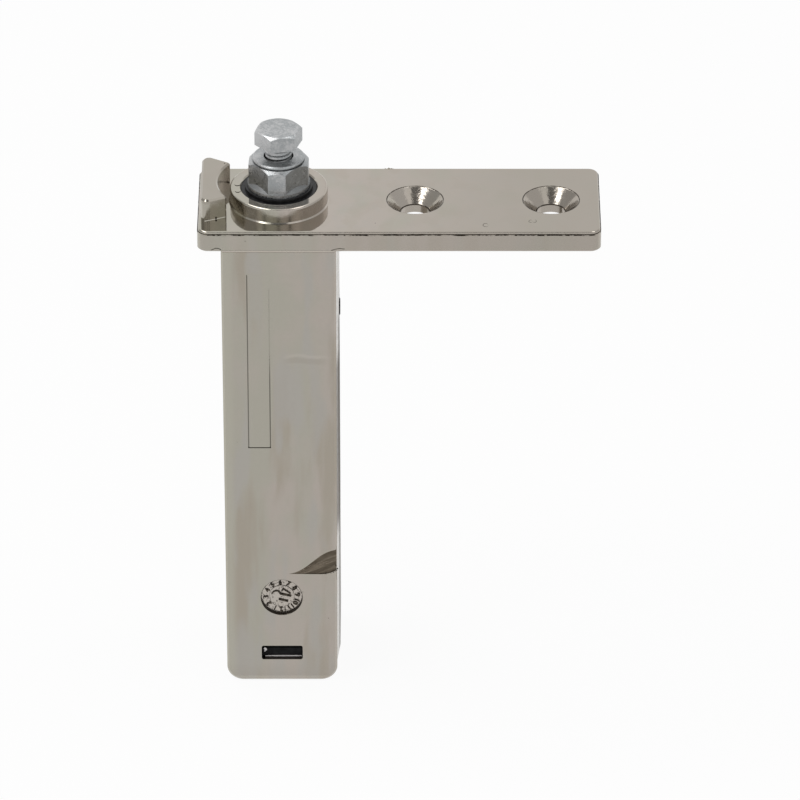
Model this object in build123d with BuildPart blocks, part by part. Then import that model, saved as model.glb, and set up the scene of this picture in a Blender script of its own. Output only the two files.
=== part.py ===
"""Self-closing refrigerator door hinge: a cast door plate with a spring cartridge under its pivot.

The pivot axis is Z, the plate's top face is Z = 0, the plate's long end points to +X and the face with
the date dial looks to -Y. Millimetres.
"""
import os
from math import cos, isclose, radians, sin, tan

from build123d import *

os.makedirs("parts", exist_ok=True)

# Door plate
plate_left = 19.0
plate_right = 75.5
plate_depth = 31.0
plate_thick = 5.2
plate_corner = 2.5
plate_top_edge = 0.5
plate_low_edge = 0.3
parting_drop = 0.65
parting_ledge = 0.2

# Countersunk screw holes in the plate
first_screw = 32.0
screw_pitch = 32.0
screw_hole = 6.8
screw_sink = 13.3
sink_angle = 90.0
sink_rim = 0.12

# Collar ring round the pivot
ring_outer = 23.0
ring_bore = 17.8
ring_height = 3.8
ring_edge = 0.5
ring_foot = 0.3
ring_mouth = 0.3

# Stop lug at the plate's short end, hollowed round the pivot, its rear end the longer one
lug_height = 5.4
lug_setback = 0.8
lug_hollow = 14.4
lug_front = 10.7
lug_rear = 12.2
lug_front_tip = (-11.97, -8.0)
lug_rear_tip = (-11.4, 8.3)
lug_corner = 1.6
lug_tip_round = 0.5
lug_edge = 0.4

# Cartridge box under the plate
body_width = 27.0
body_foot_width = 26.6
body_depth = 30.0
body_end = 125.2
body_wall = 2.6
body_edge = 0.5
body_foot_corner = 4.0
cavity_corner = 1.0
ceiling_depth = 12.0

# Swell of the box's right wall: a long wedge that grows from behind the front edge
swell_rise = 0.5
swell_root = 0.5
swell_front = 13.9
swell_full = 5.0
swell_rear = 13.5
swell_back = 14.2
swell_end_gap = 0.3

# Details of the box: window, date dial, witness outline of a mould insert
window_width = 9.9
window_height = 3.9
window_corner = 0.5
window_from_end = 8.0
dial_diameter = 10.0
dial_from_end = 23.8
dial_depth = 0.8
insert_width = 5.4
insert_top = 11.5
insert_length = 47.8
insert_shift = -4.9
insert_line = 0.25
insert_depth = 0.12

# Scrape at the box's right front edge: a leaf outline from its tip, on a floor that sinks to the right
scar_tip = 1.5
scar_drop = 94.7
scar_tip_depth = 0.04
scar_tilt = 1.4
scar_upper = [(4.0, 1.7), (7.4, 4.7), (12.8, 6.9)]
scar_lower = [(7.9, -0.1), (12.8, 1.9)]

# Bush and thrust washer
bush_fit = 0.05
bush_lip_rise = 0.85
bush_lip_wall = 0.55
bush_recess = 0.35
bush_flange_thick = 1.5
flange_wall_gap = 0.3
washer_thick = 1.2
washer_bore_gap = 0.3

# Pivot shaft
journal = 14.7
journal_fit = 0.05
square_flats = 12.8
square_corners = 13.95
square_turn = 42.0
shoulder_rise = 5.2
square_rise = 11.15
square_top_edge = 0.9
neck_diameter = 11.4
neck_height = 0.25
collar_diameter = 12.2
collar_rise = 11.95
collar_edge = 0.3
stem = 10.0
stem_past_cam = 8.0
mouth_diameter = 7.0
mouth_depth = 3.0
tapped_hole_spare = 4.0

# Clamping bolt
bolt_diameter = 6.0
bolt_length = 20.0
bolt_flats = 9.9
bolt_head = 3.8
bolt_crown = 9.5
bolt_gap = 3.5
bolt_turn = 12.0
bolt_fit = 0.05
bolt_tip = 0.7
bolt_head_cone = 30.0

# Helical cam pair: two lobes of half a turn on a skirt, each ruled in straight steps
cam_lead = 24.0
lobe_steps = 12
skirt_wall = 2.2
cam_wall_gap = 0.6
cam_blunt = 0.8
cam_face_gap = 0.3
cam_lobe_gap_angle = 1.5
cam_fit = 0.02
running_gap = 0.05
swing = 105.0

# Stop pin in the right wall and its groove in the cam
pin_diameter = 4.4
pin_drop = 29.0
pin_proud = 0.3
pin_reach = 2.2
pin_clear = 0.25
pin_chamfer = 0.4
pin_dome = 0.3
groove_floor_gap = 0.35
groove_land = 4.5

# Cross pin through cam and stem
cross_pin = 4.0
cross_pin_drop = 5.8
cross_pin_setback = 0.5

# Follower, spring and seat
follower_gap = 0.15
follower_base = 6.0
follower_corner = 1.2
follower_bore_gap = 0.1
boss_wall = 0.7
boss_length = 5.0
boss_gap = 0.4
spring_wall_gap = 0.7
wire_height = 3.0
spring_turns = 6.5
steps_per_turn = 20
seat_thick = 1.5
seat_gap = 0.3

# End plug
plug_height = 13.2
plug_recess = 0.6
plug_gap = 0.1
plug_boss_length = 6.0
plug_wall = 2.2
plug_rib = 2.0
tongue_setback = 1.1
tongue_gap = 0.2
tongue_ramp = 1.2
tongue_nose = 0.3

# Places worked out from the sizes above
plate_length = plate_left + plate_right
plate_middle = (plate_right - plate_left) / 2
cavity_x = body_width - 2 * body_wall
cavity_y = body_depth - 2 * body_wall
swell_x = body_width / 2 + swell_rise
window_z = -(body_end - window_from_end)
dial_z = -(body_end - dial_from_end)
insert_z = -(insert_top + insert_length / 2)
bush_outer = ring_bore - 2 * bush_fit
bush_bore = journal + 2 * journal_fit
bush_flange = cavity_x - 2 * flange_wall_gap
bush_top = ring_height - bush_recess
washer_top = -(ceiling_depth + bush_flange_thick)
washer_bottom = washer_top - washer_thick
cam_top = washer_bottom - running_gap
cam_radius = cavity_x / 2 - cam_wall_gap
cam_rise = cam_lead / 2
skirt_inner = cam_radius - skirt_wall
groove_width = pin_diameter + 2 * pin_clear
lobe_high = -(pin_drop + groove_width / 2 + groove_land)
lobe_low = lobe_high - cam_rise
pin_tip = cam_radius - pin_reach
groove_floor = pin_tip - groove_floor_gap
cross_pin_z = cam_top - cross_pin_drop
slip_drop = cam_lead * cam_lobe_gap_angle / 360
follower_low = lobe_low - cam_face_gap
follower_bottom = follower_low - follower_base
stem_end = lobe_low - stem_past_cam
follower_bore = stem + 2 * follower_bore_gap
boss_diameter = follower_bore + 2 * boss_wall
spring_inner = boss_diameter + 2 * boss_gap
spring_outer = cavity_x - 2 * spring_wall_gap
wire_width = (spring_outer - spring_inner) / 2
plug_bottom = -(body_end - plug_recess)
plug_top = plug_bottom + plug_height
seat_top = plug_top + seat_thick
spring_length = follower_bottom - seat_top
head_bottom = collar_rise + bolt_gap


def radial_plane(turn, origin=(0, 0, 0)):
    """Upright plane whose X points outward from the pivot at an angle of turn degrees, with Y up."""
    outward = (cos(radians(turn)), sin(radians(turn)), 0)
    normal = (sin(radians(turn)), -cos(radians(turn)), 0)
    return Plane(origin, x_dir=outward, z_dir=normal)


# Cartridge box, cast in one with the plate: a front outline pulled through its depth
with BuildPart() as cartridge_box:
    box_top = -plate_thick / 2
    with BuildSketch(Plane.XZ) as box_front:
        with BuildLine():
            Polyline(
                (-body_width / 2, box_top),
                (body_width / 2, box_top),
                (body_foot_width / 2, -body_end),
                (-body_foot_width / 2, -body_end),
                close=True,
            )
        make_face()
        fillet(box_front.vertices().group_by(Axis.Y)[0], body_foot_corner)
    extrude(amount=body_depth / 2, both=True)
    rims = cartridge_box.faces().filter_by(Axis.Y).edges()
    chamfer(rims.filter_by(lambda edge: edge.center().Z < box_top - body_edge), body_edge)
    with BuildSketch(Plane.XY.offset(swell_end_gap - body_end)):
        with BuildLine():
            Polyline(
                (body_foot_width / 2 - swell_root, -swell_front),
                (swell_x, -swell_full),
                (swell_x, swell_rear),
                (body_foot_width / 2 - swell_root, swell_back),
                close=True,
            )
        make_face()
    extrude(amount=body_end - swell_end_gap + box_top)

# Casting: plate with its parting ledge, box, collar ring and stop lug, then every hole
with BuildPart() as hinge_casting:
    with BuildSketch(Plane.XY.offset(-plate_thick)):
        with Locations((plate_middle, 0)):
            RectangleRounded(plate_length, plate_depth, plate_corner)
    extrude(amount=plate_thick - parting_drop)
    chamfer(hinge_casting.edges().group_by(Axis.Z)[0], plate_low_edge)
    with BuildSketch(Plane.XY.offset(-parting_drop)):
        with Locations((plate_middle, 0)):
            upper_corner = plate_corner - parting_ledge
            RectangleRounded(plate_length - 2 * parting_ledge, plate_depth - 2 * parting_ledge, upper_corner)
    extrude(amount=parting_drop)
    chamfer(hinge_casting.edges().group_by(Axis.Z)[-1], plate_top_edge)
    add(cartridge_box.part)

    with BuildSketch():
        Circle(ring_outer / 2)
    extrude(amount=ring_height)
    ring_rims = hinge_casting.edges().filter_by(GeomType.CIRCLE).sort_by(SortBy.RADIUS)[-2:]
    chamfer(ring_rims.sort_by(Axis.Z)[0], ring_foot)
    chamfer(hinge_casting.edges().group_by(Axis.Z)[-1], ring_edge)
    with Locations((0, 0, ring_height)):
        Hole(ring_bore / 2, depth=ring_height + ceiling_depth)
    ring_top = hinge_casting.faces().sort_by(Axis.Z)[-1]
    chamfer(ring_top.edges().sort_by(SortBy.RADIUS)[0], ring_mouth)

    lug_outer_x = lug_setback - plate_left
    with BuildSketch(Plane.XY.offset(-parting_drop)) as lug_plan:
        with BuildLine():
            Polyline(
                lug_front_tip,
                (lug_outer_x, -lug_front),
                (lug_outer_x, lug_rear),
                lug_rear_tip,
            )
            ThreePointArc(lug_rear_tip, (-lug_hollow, 0), lug_front_tip)
        make_face()
        fillet(lug_plan.vertices().group_by(Axis.X)[0], lug_corner)
        fillet(lug_plan.vertices().sort_by(Axis.X)[-2:], lug_tip_round)
    extrude(amount=parting_drop + lug_height)
    chamfer(hinge_casting.edges().group_by(Axis.Z)[-1], lug_edge)

    with BuildSketch(Plane.XY.offset(-body_end)):
        RectangleRounded(cavity_x, cavity_y, cavity_corner)
    extrude(amount=body_end - ceiling_depth, mode=Mode.SUBTRACT)
    with Locations((first_screw, 0, 0), (first_screw + screw_pitch, 0, 0)):
        CounterSinkHole(screw_hole / 2, screw_sink / 2, depth=plate_thick, counter_sink_angle=sink_angle)
    circles = hinge_casting.edges().filter_by(GeomType.CIRCLE)
    chamfer(circles.filter_by(lambda edge: isclose(edge.radius, screw_sink / 2)), sink_rim)

    with BuildSketch(Plane.XZ):
        with Locations((0, window_z)):
            RectangleRounded(window_width, window_height, window_corner)
    extrude(amount=body_depth, both=True, mode=Mode.SUBTRACT)
    with BuildSketch(Plane.YZ.offset(cavity_x / 2)):
        with Locations((0, -pin_drop)):
            Circle(pin_diameter / 2)
    extrude(amount=2 * body_wall, mode=Mode.SUBTRACT)
    with BuildSketch(Plane.XZ.offset(body_depth / 2)):
        with Locations((0, dial_z)):
            Circle(dial_diameter / 2)
    extrude(amount=-dial_depth, mode=Mode.SUBTRACT)
    with BuildSketch(Plane.XZ.offset(body_depth / 2)):
        with Locations((insert_shift, insert_z)):
            Rectangle(insert_width, insert_length)
            Rectangle(insert_width - 2 * insert_line, insert_length - 2 * insert_line, mode=Mode.SUBTRACT)
    extrude(amount=-insert_depth, mode=Mode.SUBTRACT)
    scar_place = (scar_tip, scar_tip_depth - body_depth / 2, -scar_drop)
    with BuildSketch(radial_plane(scar_tilt, scar_place)):
        with BuildLine():
            Spline((0, 0), *scar_upper)
            Line(scar_upper[-1], scar_lower[-1])
            TangentArc(*scar_lower, tangent=(1, 0))
            Line(scar_lower[0], (0, 0))
        make_face()
    extrude(amount=body_wall, mode=Mode.SUBTRACT)

hinge_casting.part.label = "hinge_casting"
export_step(hinge_casting.part, "parts/hinge_casting.step")

# Flanged bush: its flange bears on the box's ceiling, and its lip hugs the shaft above the ring
with BuildPart() as pivot_bush:
    with BuildSketch(Plane.XZ):
        with BuildLine():
            Polyline(
                (bush_bore / 2, washer_top),
                (bush_flange / 2, washer_top),
                (bush_flange / 2, -ceiling_depth),
                (bush_outer / 2, -ceiling_depth),
                (bush_outer / 2, bush_top),
                (bush_bore / 2 + bush_lip_wall, bush_top),
                (bush_bore / 2 + bush_lip_wall, bush_top + bush_lip_rise),
                (bush_bore / 2, bush_top + bush_lip_rise),
                close=True,
            )
        make_face()
    revolve(axis=Axis.Z)
pivot_bush.part.label = "pivot_bush"
export_step(pivot_bush.part, "parts/pivot_bush.step")

# Hardened washer between the bush's flange and the cam
with BuildPart() as thrust_washer:
    with BuildSketch(Plane.XY.offset(washer_bottom)):
        Circle(bush_flange / 2)
        Circle(bush_bore / 2 + washer_bore_gap, mode=Mode.SUBTRACT)
    extrude(amount=washer_thick)
thrust_washer.part.label = "thrust_washer"
export_step(thrust_washer.part, "parts/thrust_washer.step")

# Shaft: turned profile, square milled across its head down to a cone, bolt hole and cross hole
with BuildPart() as pivot_shaft:
    with BuildSketch(Plane.XZ):
        with BuildLine():
            Polyline(
                (0, stem_end),
                (stem / 2, stem_end),
                (stem / 2, cam_top),
                (journal / 2, cam_top),
                (journal / 2, square_rise - square_top_edge),
                (journal / 2 - square_top_edge, square_rise),
                (neck_diameter / 2, square_rise),
                (neck_diameter / 2, square_rise + neck_height),
                (collar_diameter / 2, square_rise + neck_height),
                (collar_diameter / 2, collar_rise - collar_edge),
                (collar_diameter / 2 - collar_edge, collar_rise),
                (0, collar_rise),
                close=True,
            )
        make_face()
    revolve(axis=Axis.Z)
    with BuildSketch(Plane.XY.offset(shoulder_rise)):
        Circle(journal)
        with BuildSketch(mode=Mode.SUBTRACT):
            Rectangle(square_flats, square_flats, rotation=square_turn)
            Rectangle(square_corners, square_corners, rotation=square_turn + 45, mode=Mode.INTERSECT)
    extrude(amount=square_rise - shoulder_rise, mode=Mode.SUBTRACT)
    runout_top = shoulder_rise + (journal - neck_diameter) / 2
    with BuildSketch(Plane.XZ):
        with BuildLine():
            Polyline(
                (0, shoulder_rise),
                (journal / 2, shoulder_rise),
                (neck_diameter / 2, runout_top),
                (0, runout_top),
                close=True,
            )
        make_face()
    revolve(axis=Axis.Z)
    tapped_depth = bolt_length - bolt_gap + tapped_hole_spare
    with Locations((0, 0, collar_rise)):
        CounterBoreHole(bolt_diameter / 2 + bolt_fit, mouth_diameter / 2, mouth_depth, depth=tapped_depth)
    with BuildSketch(Plane.XZ):
        with Locations((0, cross_pin_z)):
            Circle(cross_pin / 2 + cam_fit)
    extrude(amount=stem, both=True, mode=Mode.SUBTRACT)
pivot_shaft.part.label = "pivot_shaft"
export_step(pivot_shaft.part, "parts/pivot_shaft.step")

# Hexagon bolt, standing a few turns short of home
with BuildPart() as clamp_bolt:
    with BuildSketch(Plane.XY.offset(head_bottom)):
        RegularPolygon(bolt_flats / 2, 6, major_radius=False, rotation=bolt_turn)
    extrude(amount=bolt_head)
    crown_foot = bolt_crown / 2 + bolt_head / tan(radians(bolt_head_cone))
    with BuildSketch(Plane.XZ):
        with BuildLine():
            Polyline(
                (0, head_bottom),
                (crown_foot, head_bottom),
                (bolt_crown / 2, head_bottom + bolt_head),
                (0, head_bottom + bolt_head),
                close=True,
            )
        make_face()
    revolve(axis=Axis.Z, mode=Mode.INTERSECT)
    with BuildSketch(Plane.XY.offset(head_bottom)):
        Circle(bolt_diameter / 2)
    extrude(amount=-bolt_length)
    chamfer(clamp_bolt.edges().group_by(Axis.Z)[0], bolt_tip)
clamp_bolt.part.label = "clamp_bolt"
export_step(clamp_bolt.part, "parts/clamp_bolt.step")

# Space on either side of the helical faces: one lobe's block, screwed up through half a turn
block_height = cam_rise + cam_blunt
block_inner = stem / 4
block_outer = cavity_x / 2
with BuildPart() as lobe_block:
    for step in range(lobe_steps + 1):
        share = step / lobe_steps
        with BuildSketch(radial_plane(180 * share)):
            with Locations(((block_inner + block_outer) / 2, cam_rise * share + block_height / 2)):
                Rectangle(block_outer - block_inner, block_height)
    loft(ruled=True)

# Cam on the shaft: drum with the stop groove, and two lobes hanging from it
with BuildPart() as drive_cam:
    with BuildSketch(Plane.XY.offset(lobe_low + cam_blunt)):
        Circle(cam_radius)
        Circle(stem / 2 + cam_fit, mode=Mode.SUBTRACT)
    extrude(amount=cam_top - lobe_low - cam_blunt)
    with BuildSketch(Plane.XY.offset(lobe_low + cam_blunt)):
        Circle(skirt_inner)
    extrude(amount=cam_rise - cam_blunt, mode=Mode.SUBTRACT)
    for half_turn in (0, 180):
        place = Location((0, 0, lobe_low - block_height), (0, 0, half_turn))
        add(lobe_block.part.moved(place), mode=Mode.SUBTRACT)
    with BuildSketch(Plane.XZ):
        with Locations(((groove_floor + cavity_x / 2) / 2, -pin_drop)):
            Rectangle(cavity_x / 2 - groove_floor, groove_width)
    revolve(axis=Axis.Z.reverse(), revolution_arc=swing, mode=Mode.SUBTRACT)
    for turn in (0, -swing):
        outward = (cos(radians(turn)), sin(radians(turn)), 0)
        with BuildSketch(Plane((0, 0, -pin_drop), z_dir=outward).offset(groove_floor)):
            Circle(groove_width / 2)
        extrude(amount=cam_radius, mode=Mode.SUBTRACT)
    with BuildSketch(Plane.XZ):
        with Locations((0, cross_pin_z)):
            Circle(cross_pin / 2 + cam_fit)
    extrude(amount=cavity_x / 2, both=True, mode=Mode.SUBTRACT)
drive_cam.part.label = "drive_cam"
export_step(drive_cam.part, "parts/drive_cam.step")

# Cross pin that ties the cam to the shaft
with BuildPart() as cam_pin:
    with BuildSketch(Plane.XZ):
        with Locations((0, cross_pin_z)):
            Circle(cross_pin / 2)
    extrude(amount=cam_radius - cross_pin_setback, both=True)
    chamfer(cam_pin.edges().filter_by(GeomType.CIRCLE), pin_chamfer)
cam_pin.part.label = "cam_pin"
export_step(cam_pin.part, "parts/cam_pin.step")

# Stop pin: through the right wall into the cam's groove
with BuildPart() as stop_pin:
    with BuildSketch(Plane.YZ.offset(pin_tip)):
        with Locations((0, -pin_drop)):
            Circle(pin_diameter / 2)
    extrude(amount=swell_x + pin_proud - pin_tip)
    chamfer(stop_pin.edges().group_by(Axis.X)[0], pin_chamfer)
    chamfer(stop_pin.edges().group_by(Axis.X)[-1], pin_dome)
stop_pin.part.label = "stop_pin"
export_step(stop_pin.part, "parts/stop_pin.step")

# Follower: a block that the box keeps from turning, the mating lobes and a boss for the spring
with BuildPart() as cam_follower:
    with BuildSketch(Plane.XY.offset(follower_low)):
        Circle(cam_radius)
        Circle(skirt_inner, mode=Mode.SUBTRACT)
    extrude(amount=cam_rise - cam_blunt)
    for half_turn in (0, 180):
        turned = half_turn - cam_lobe_gap_angle
        place = Location((0, 0, follower_low - slip_drop), (0, 0, turned))
        add(lobe_block.part.moved(place), mode=Mode.SUBTRACT)
    with BuildSketch(Plane.XY.offset(follower_bottom)):
        RectangleRounded(cavity_x - 2 * follower_gap, cavity_y - 2 * follower_gap, follower_corner)
    extrude(amount=follower_base)
    with BuildSketch(Plane.XY.offset(follower_bottom)):
        Circle(boss_diameter / 2)
    extrude(amount=-boss_length)
    with Locations((0, 0, lobe_high)):
        Hole(follower_bore / 2, depth=lobe_high - follower_bottom + boss_length)
cam_follower.part.label = "cam_follower"
export_step(cam_follower.part, "parts/cam_follower.step")

# Closing spring: rectangular wire wound in short straight runs, its two ends ground flat
with BuildPart() as closing_spring:
    coil_pitch = (spring_length - wire_height) / (spring_turns - 1)
    coil_height = spring_length + coil_pitch / 2
    coil_steps = round(steps_per_turn * coil_height / coil_pitch)
    wire_sections = []
    for step in range(coil_steps + 1):
        rise = coil_height * step / coil_steps
        middle = (0, 0, seat_top - coil_pitch / 4 + rise)
        section = radial_plane(360 * rise / coil_pitch, middle)
        corners = [
            (radius, side * wire_height / 2, 0)
            for radius in (spring_inner / 2, spring_outer / 2)
            for side in (-1, 1)
        ]
        wire_sections.append([section.from_local_coords(corner) for corner in corners])
    runs = [
        ConvexPolyhedron(lower + upper, mode=Mode.PRIVATE)
        for lower, upper in zip(wire_sections, wire_sections[1:])
    ]
    add(runs)
    with BuildSketch(Plane.XY.offset(seat_top)):
        Circle(spring_outer)
    extrude(amount=spring_length, mode=Mode.INTERSECT)
closing_spring.part.label = "closing_spring"
export_step(closing_spring.part, "parts/closing_spring.step")

# Steel seat between the spring and the plug
with BuildPart() as spring_seat:
    with BuildSketch(Plane.XY.offset(plug_top)):
        Circle(spring_outer / 2)
        Circle(boss_diameter / 2 + seat_gap, mode=Mode.SUBTRACT)
    extrude(amount=seat_thick)
spring_seat.part.label = "spring_seat"
export_step(spring_seat.part, "parts/spring_seat.step")

# End plug: pushed up into the box until its two tongues snap into the windows, cored from below
with BuildPart() as end_plug:
    with BuildSketch(Plane.XY.offset(plug_bottom)):
        RectangleRounded(cavity_x - 2 * plug_gap, cavity_y - 2 * plug_gap, cavity_corner)
    extrude(amount=plug_height)
    with BuildSketch(Plane.XY.offset(plug_top)):
        Circle(boss_diameter / 2)
    extrude(amount=plug_boss_length)
    tongue_reach = body_depth / 2 - tongue_setback
    tongue_top = window_z + window_height / 2 - tongue_gap
    tongue_bottom = window_z - window_height / 2 + tongue_gap
    with BuildSketch(Plane.YZ):
        with BuildLine():
            Polyline(
                (0, tongue_bottom),
                (tongue_reach - tongue_nose, tongue_bottom),
                (tongue_reach, tongue_bottom + tongue_nose),
                (tongue_reach, tongue_top - tongue_ramp),
                (cavity_y / 2, tongue_top),
                (0, tongue_top),
                close=True,
            )
        make_face()
        mirror(about=Plane.YZ)
    extrude(amount=window_width / 2 - tongue_gap, both=True)
    with BuildSketch(Plane.XY.offset(plug_bottom)):
        core_x = (cavity_x - 2 * (plug_gap + plug_wall) - plug_rib) / 2
        core_y = (cavity_y - 2 * (plug_gap + plug_wall) - plug_rib) / 2
        with GridLocations(core_x + plug_rib, core_y + plug_rib, 2, 2):
            Rectangle(core_x, core_y)
    extrude(amount=plug_height - plug_wall, mode=Mode.SUBTRACT)
end_plug.part.label = "end_plug"
export_step(end_plug.part, "parts/end_plug.step")
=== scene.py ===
"""Looks of a self-closing refrigerator door hinge: plated casting, zinc shaft, marks of making and wear."""

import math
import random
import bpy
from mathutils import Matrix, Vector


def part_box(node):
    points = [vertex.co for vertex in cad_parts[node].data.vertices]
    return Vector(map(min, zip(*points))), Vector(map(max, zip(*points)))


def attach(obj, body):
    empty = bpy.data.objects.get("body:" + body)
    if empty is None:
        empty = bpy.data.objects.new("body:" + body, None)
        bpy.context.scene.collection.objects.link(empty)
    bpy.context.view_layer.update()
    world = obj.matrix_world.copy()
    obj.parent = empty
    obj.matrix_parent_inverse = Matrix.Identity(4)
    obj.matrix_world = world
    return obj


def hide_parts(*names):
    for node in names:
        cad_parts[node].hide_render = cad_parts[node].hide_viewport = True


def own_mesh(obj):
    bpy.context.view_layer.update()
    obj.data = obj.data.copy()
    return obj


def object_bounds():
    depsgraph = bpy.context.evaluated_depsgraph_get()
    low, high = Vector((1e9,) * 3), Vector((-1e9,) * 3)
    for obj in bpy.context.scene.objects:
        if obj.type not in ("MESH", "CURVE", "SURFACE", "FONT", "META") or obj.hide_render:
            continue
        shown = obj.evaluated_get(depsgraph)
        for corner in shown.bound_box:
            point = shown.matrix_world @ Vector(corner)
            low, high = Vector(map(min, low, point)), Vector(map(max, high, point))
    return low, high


bl_info = {
    "name": "Door Hinge Finish",
    "version": (1, 0, 0),
    "blender": (4, 5, 0),
    "location": "View3D > Sidebar > Hinge",
    "description": "Finishes the packed door hinge and sets it in a plain studio",
    "category": "Object",
}

import bmesh
import bpy
from bpy.props import FloatProperty, FloatVectorProperty, PointerProperty
from mathutils import Matrix, Vector, noise

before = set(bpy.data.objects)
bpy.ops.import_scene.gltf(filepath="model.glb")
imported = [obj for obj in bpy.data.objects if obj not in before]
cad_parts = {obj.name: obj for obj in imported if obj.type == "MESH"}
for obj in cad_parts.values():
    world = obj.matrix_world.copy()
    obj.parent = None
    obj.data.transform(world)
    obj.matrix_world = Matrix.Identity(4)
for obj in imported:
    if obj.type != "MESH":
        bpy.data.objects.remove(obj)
cad_low, cad_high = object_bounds()

MM = 0.001
UP = Vector((0.0, 0.0, 1.0))
BACK = Vector((0.0, 1.0, 0.0))


def length(name, description, millimetres):
    """A length that a user may change, given in millimetres and kept in metres."""
    return FloatProperty(name=name, description=description, default=millimetres * MM,
                         subtype="DISTANCE", unit="LENGTH", precision=5)


def angle(name, description, degrees):
    """An angle that a user may change, given in degrees."""
    return FloatProperty(name=name, description=description, default=math.radians(degrees),
                         subtype="ANGLE", unit="ROTATION")


def share(name, description, value):
    """A plain number from 0 to 1."""
    return FloatProperty(name=name, description=description, default=value, min=0.0, max=1.0,
                         subtype="FACTOR")


def colour(name, description, red, green, blue):
    """A colour in linear light."""
    return FloatVectorProperty(name=name, description=description, default=(red, green, blue),
                               subtype="COLOR", size=3, min=0.0, max=1.0)


class HingeSizes(bpy.types.PropertyGroup):
    """Sizes of the marks and small forms that dress the hinge."""

    box_front: length("Box front", "From the pivot axis to the cartridge's front face", 15.0)
    box_side: length("Box side", "From the pivot axis to the cartridge's side face", 13.5)
    foot_corner: length("Foot corner", "Corner radius at the cartridge's foot", 4.0)
    swell_root: length("Swell root", "From the pivot axis to the swell's inner edge", 12.8)
    swell_foot: length("Swell foot", "From the plate's top down to where the swell has run out", 123.2)
    plate_corner: length("Plate corner", "Corner radius of the door plate", 2.5)
    parting_drop: length("Parting drop", "From the plate's top down to the mould's parting line", 0.65)
    parting_ledge: length("Parting ledge", "Set-back of the plate's upper part at the parting line", 0.2)
    hole_middle: length("Hole middle", "From the pivot axis to midway between the screw holes", 48.0)
    hole_pitch: length("Hole pitch", "From one screw hole's axis to the other's", 32.0)
    hole_radius: length("Hole radius", "Radius of the screw holes", 3.4)
    sink_radius: length("Sink radius", "Radius of the countersinks at the plate's top", 6.65)
    insert_left: length("Insert left", "From the pivot axis left to the insert's outline", 7.61)
    insert_right: length("Insert right", "From the pivot axis left to the outline's right side", 2.19)
    insert_top: length("Insert top", "From the plate's top down to the insert's outline", 11.49)
    insert_foot: length("Insert foot", "From the plate's top down to the outline's lower side", 59.31)
    witness_width: length("Witness width", "Width of the line that the mould's insert left", 0.27)
    crease_drop: length("Crease drop", "From the plate's top down to the crease on the front", 34.2)
    edge_round: length("Edge rounding", "Radius of the plate's and the ring's upper edges", 0.5)
    ring_radius: length("Ring radius", "Outer radius of the collar ring", 11.5)
    flash_width: length("Flash width", "How far the flash stands out of the parting line", 0.16)
    flash_height: length("Flash height", "Height of the flash at its root", 0.2)
    dial_drop: length("Dial drop", "From the plate's top down to the dial's centre", 101.4)
    dial_radius: length("Dial radius", "Radius of the date dial", 5.0)
    dial_depth: length("Dial depth", "Depth of the date dial's recess", 0.8)
    numeral_height: length("Numeral height", "Height of the dial's numbers", 1.3)
    dial_turn: angle("Dial turn", "How far the dial is turned from upright", 5.0)
    numeral_rise: length("Numeral rise", "How far the dial's signs stand out of its floor", 0.3)
    ring_top: length("Ring top", "Height of the collar ring over the plate", 3.8)
    punch_radius: length("Punch radius", "Radius of the punch marks on the ring", 0.7)
    thread_pitch: length("Thread pitch", "Rise of the bolt's thread in one turn", 1.0)
    thread_depth: length("Thread depth", "Depth of the thread that shows on the shank", 0.14)
    bolt_head: length("Bolt head", "Height of the bolt's head", 3.8)
    shank_radius: length("Shank radius", "Radius of the bolt's shank", 3.0)
    plate_thick: length("Plate thickness", "Thickness of the door plate", 5.2)
    tongue_half: length("Tongue half width", "Half the width of the plug's tongue in the window", 4.75)
    wear_drop: length("Wear drop", "From the plate's top down to the pale line on the tongue", 118.82)
    wear_height: length("Wear height", "Height of the pale line on the tongue", 0.46)
    spring_travel: length("Spring travel", "How far the follower presses the closing spring", 7.0)
    scrape_tip: length("Scrape tip", "From the pivot axis right to the scrape's pointed end", 1.5)
    scrape_drop: length("Scrape drop", "From the plate's top down to the scrape's pointed end", 94.7)
    scrape_depth: length("Scrape depth", "Depth of the scrape at its pointed end", 0.04)
    scrape_tilt: angle("Scrape tilt", "Slope of the scrape's floor down to the right", 1.4)


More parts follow.
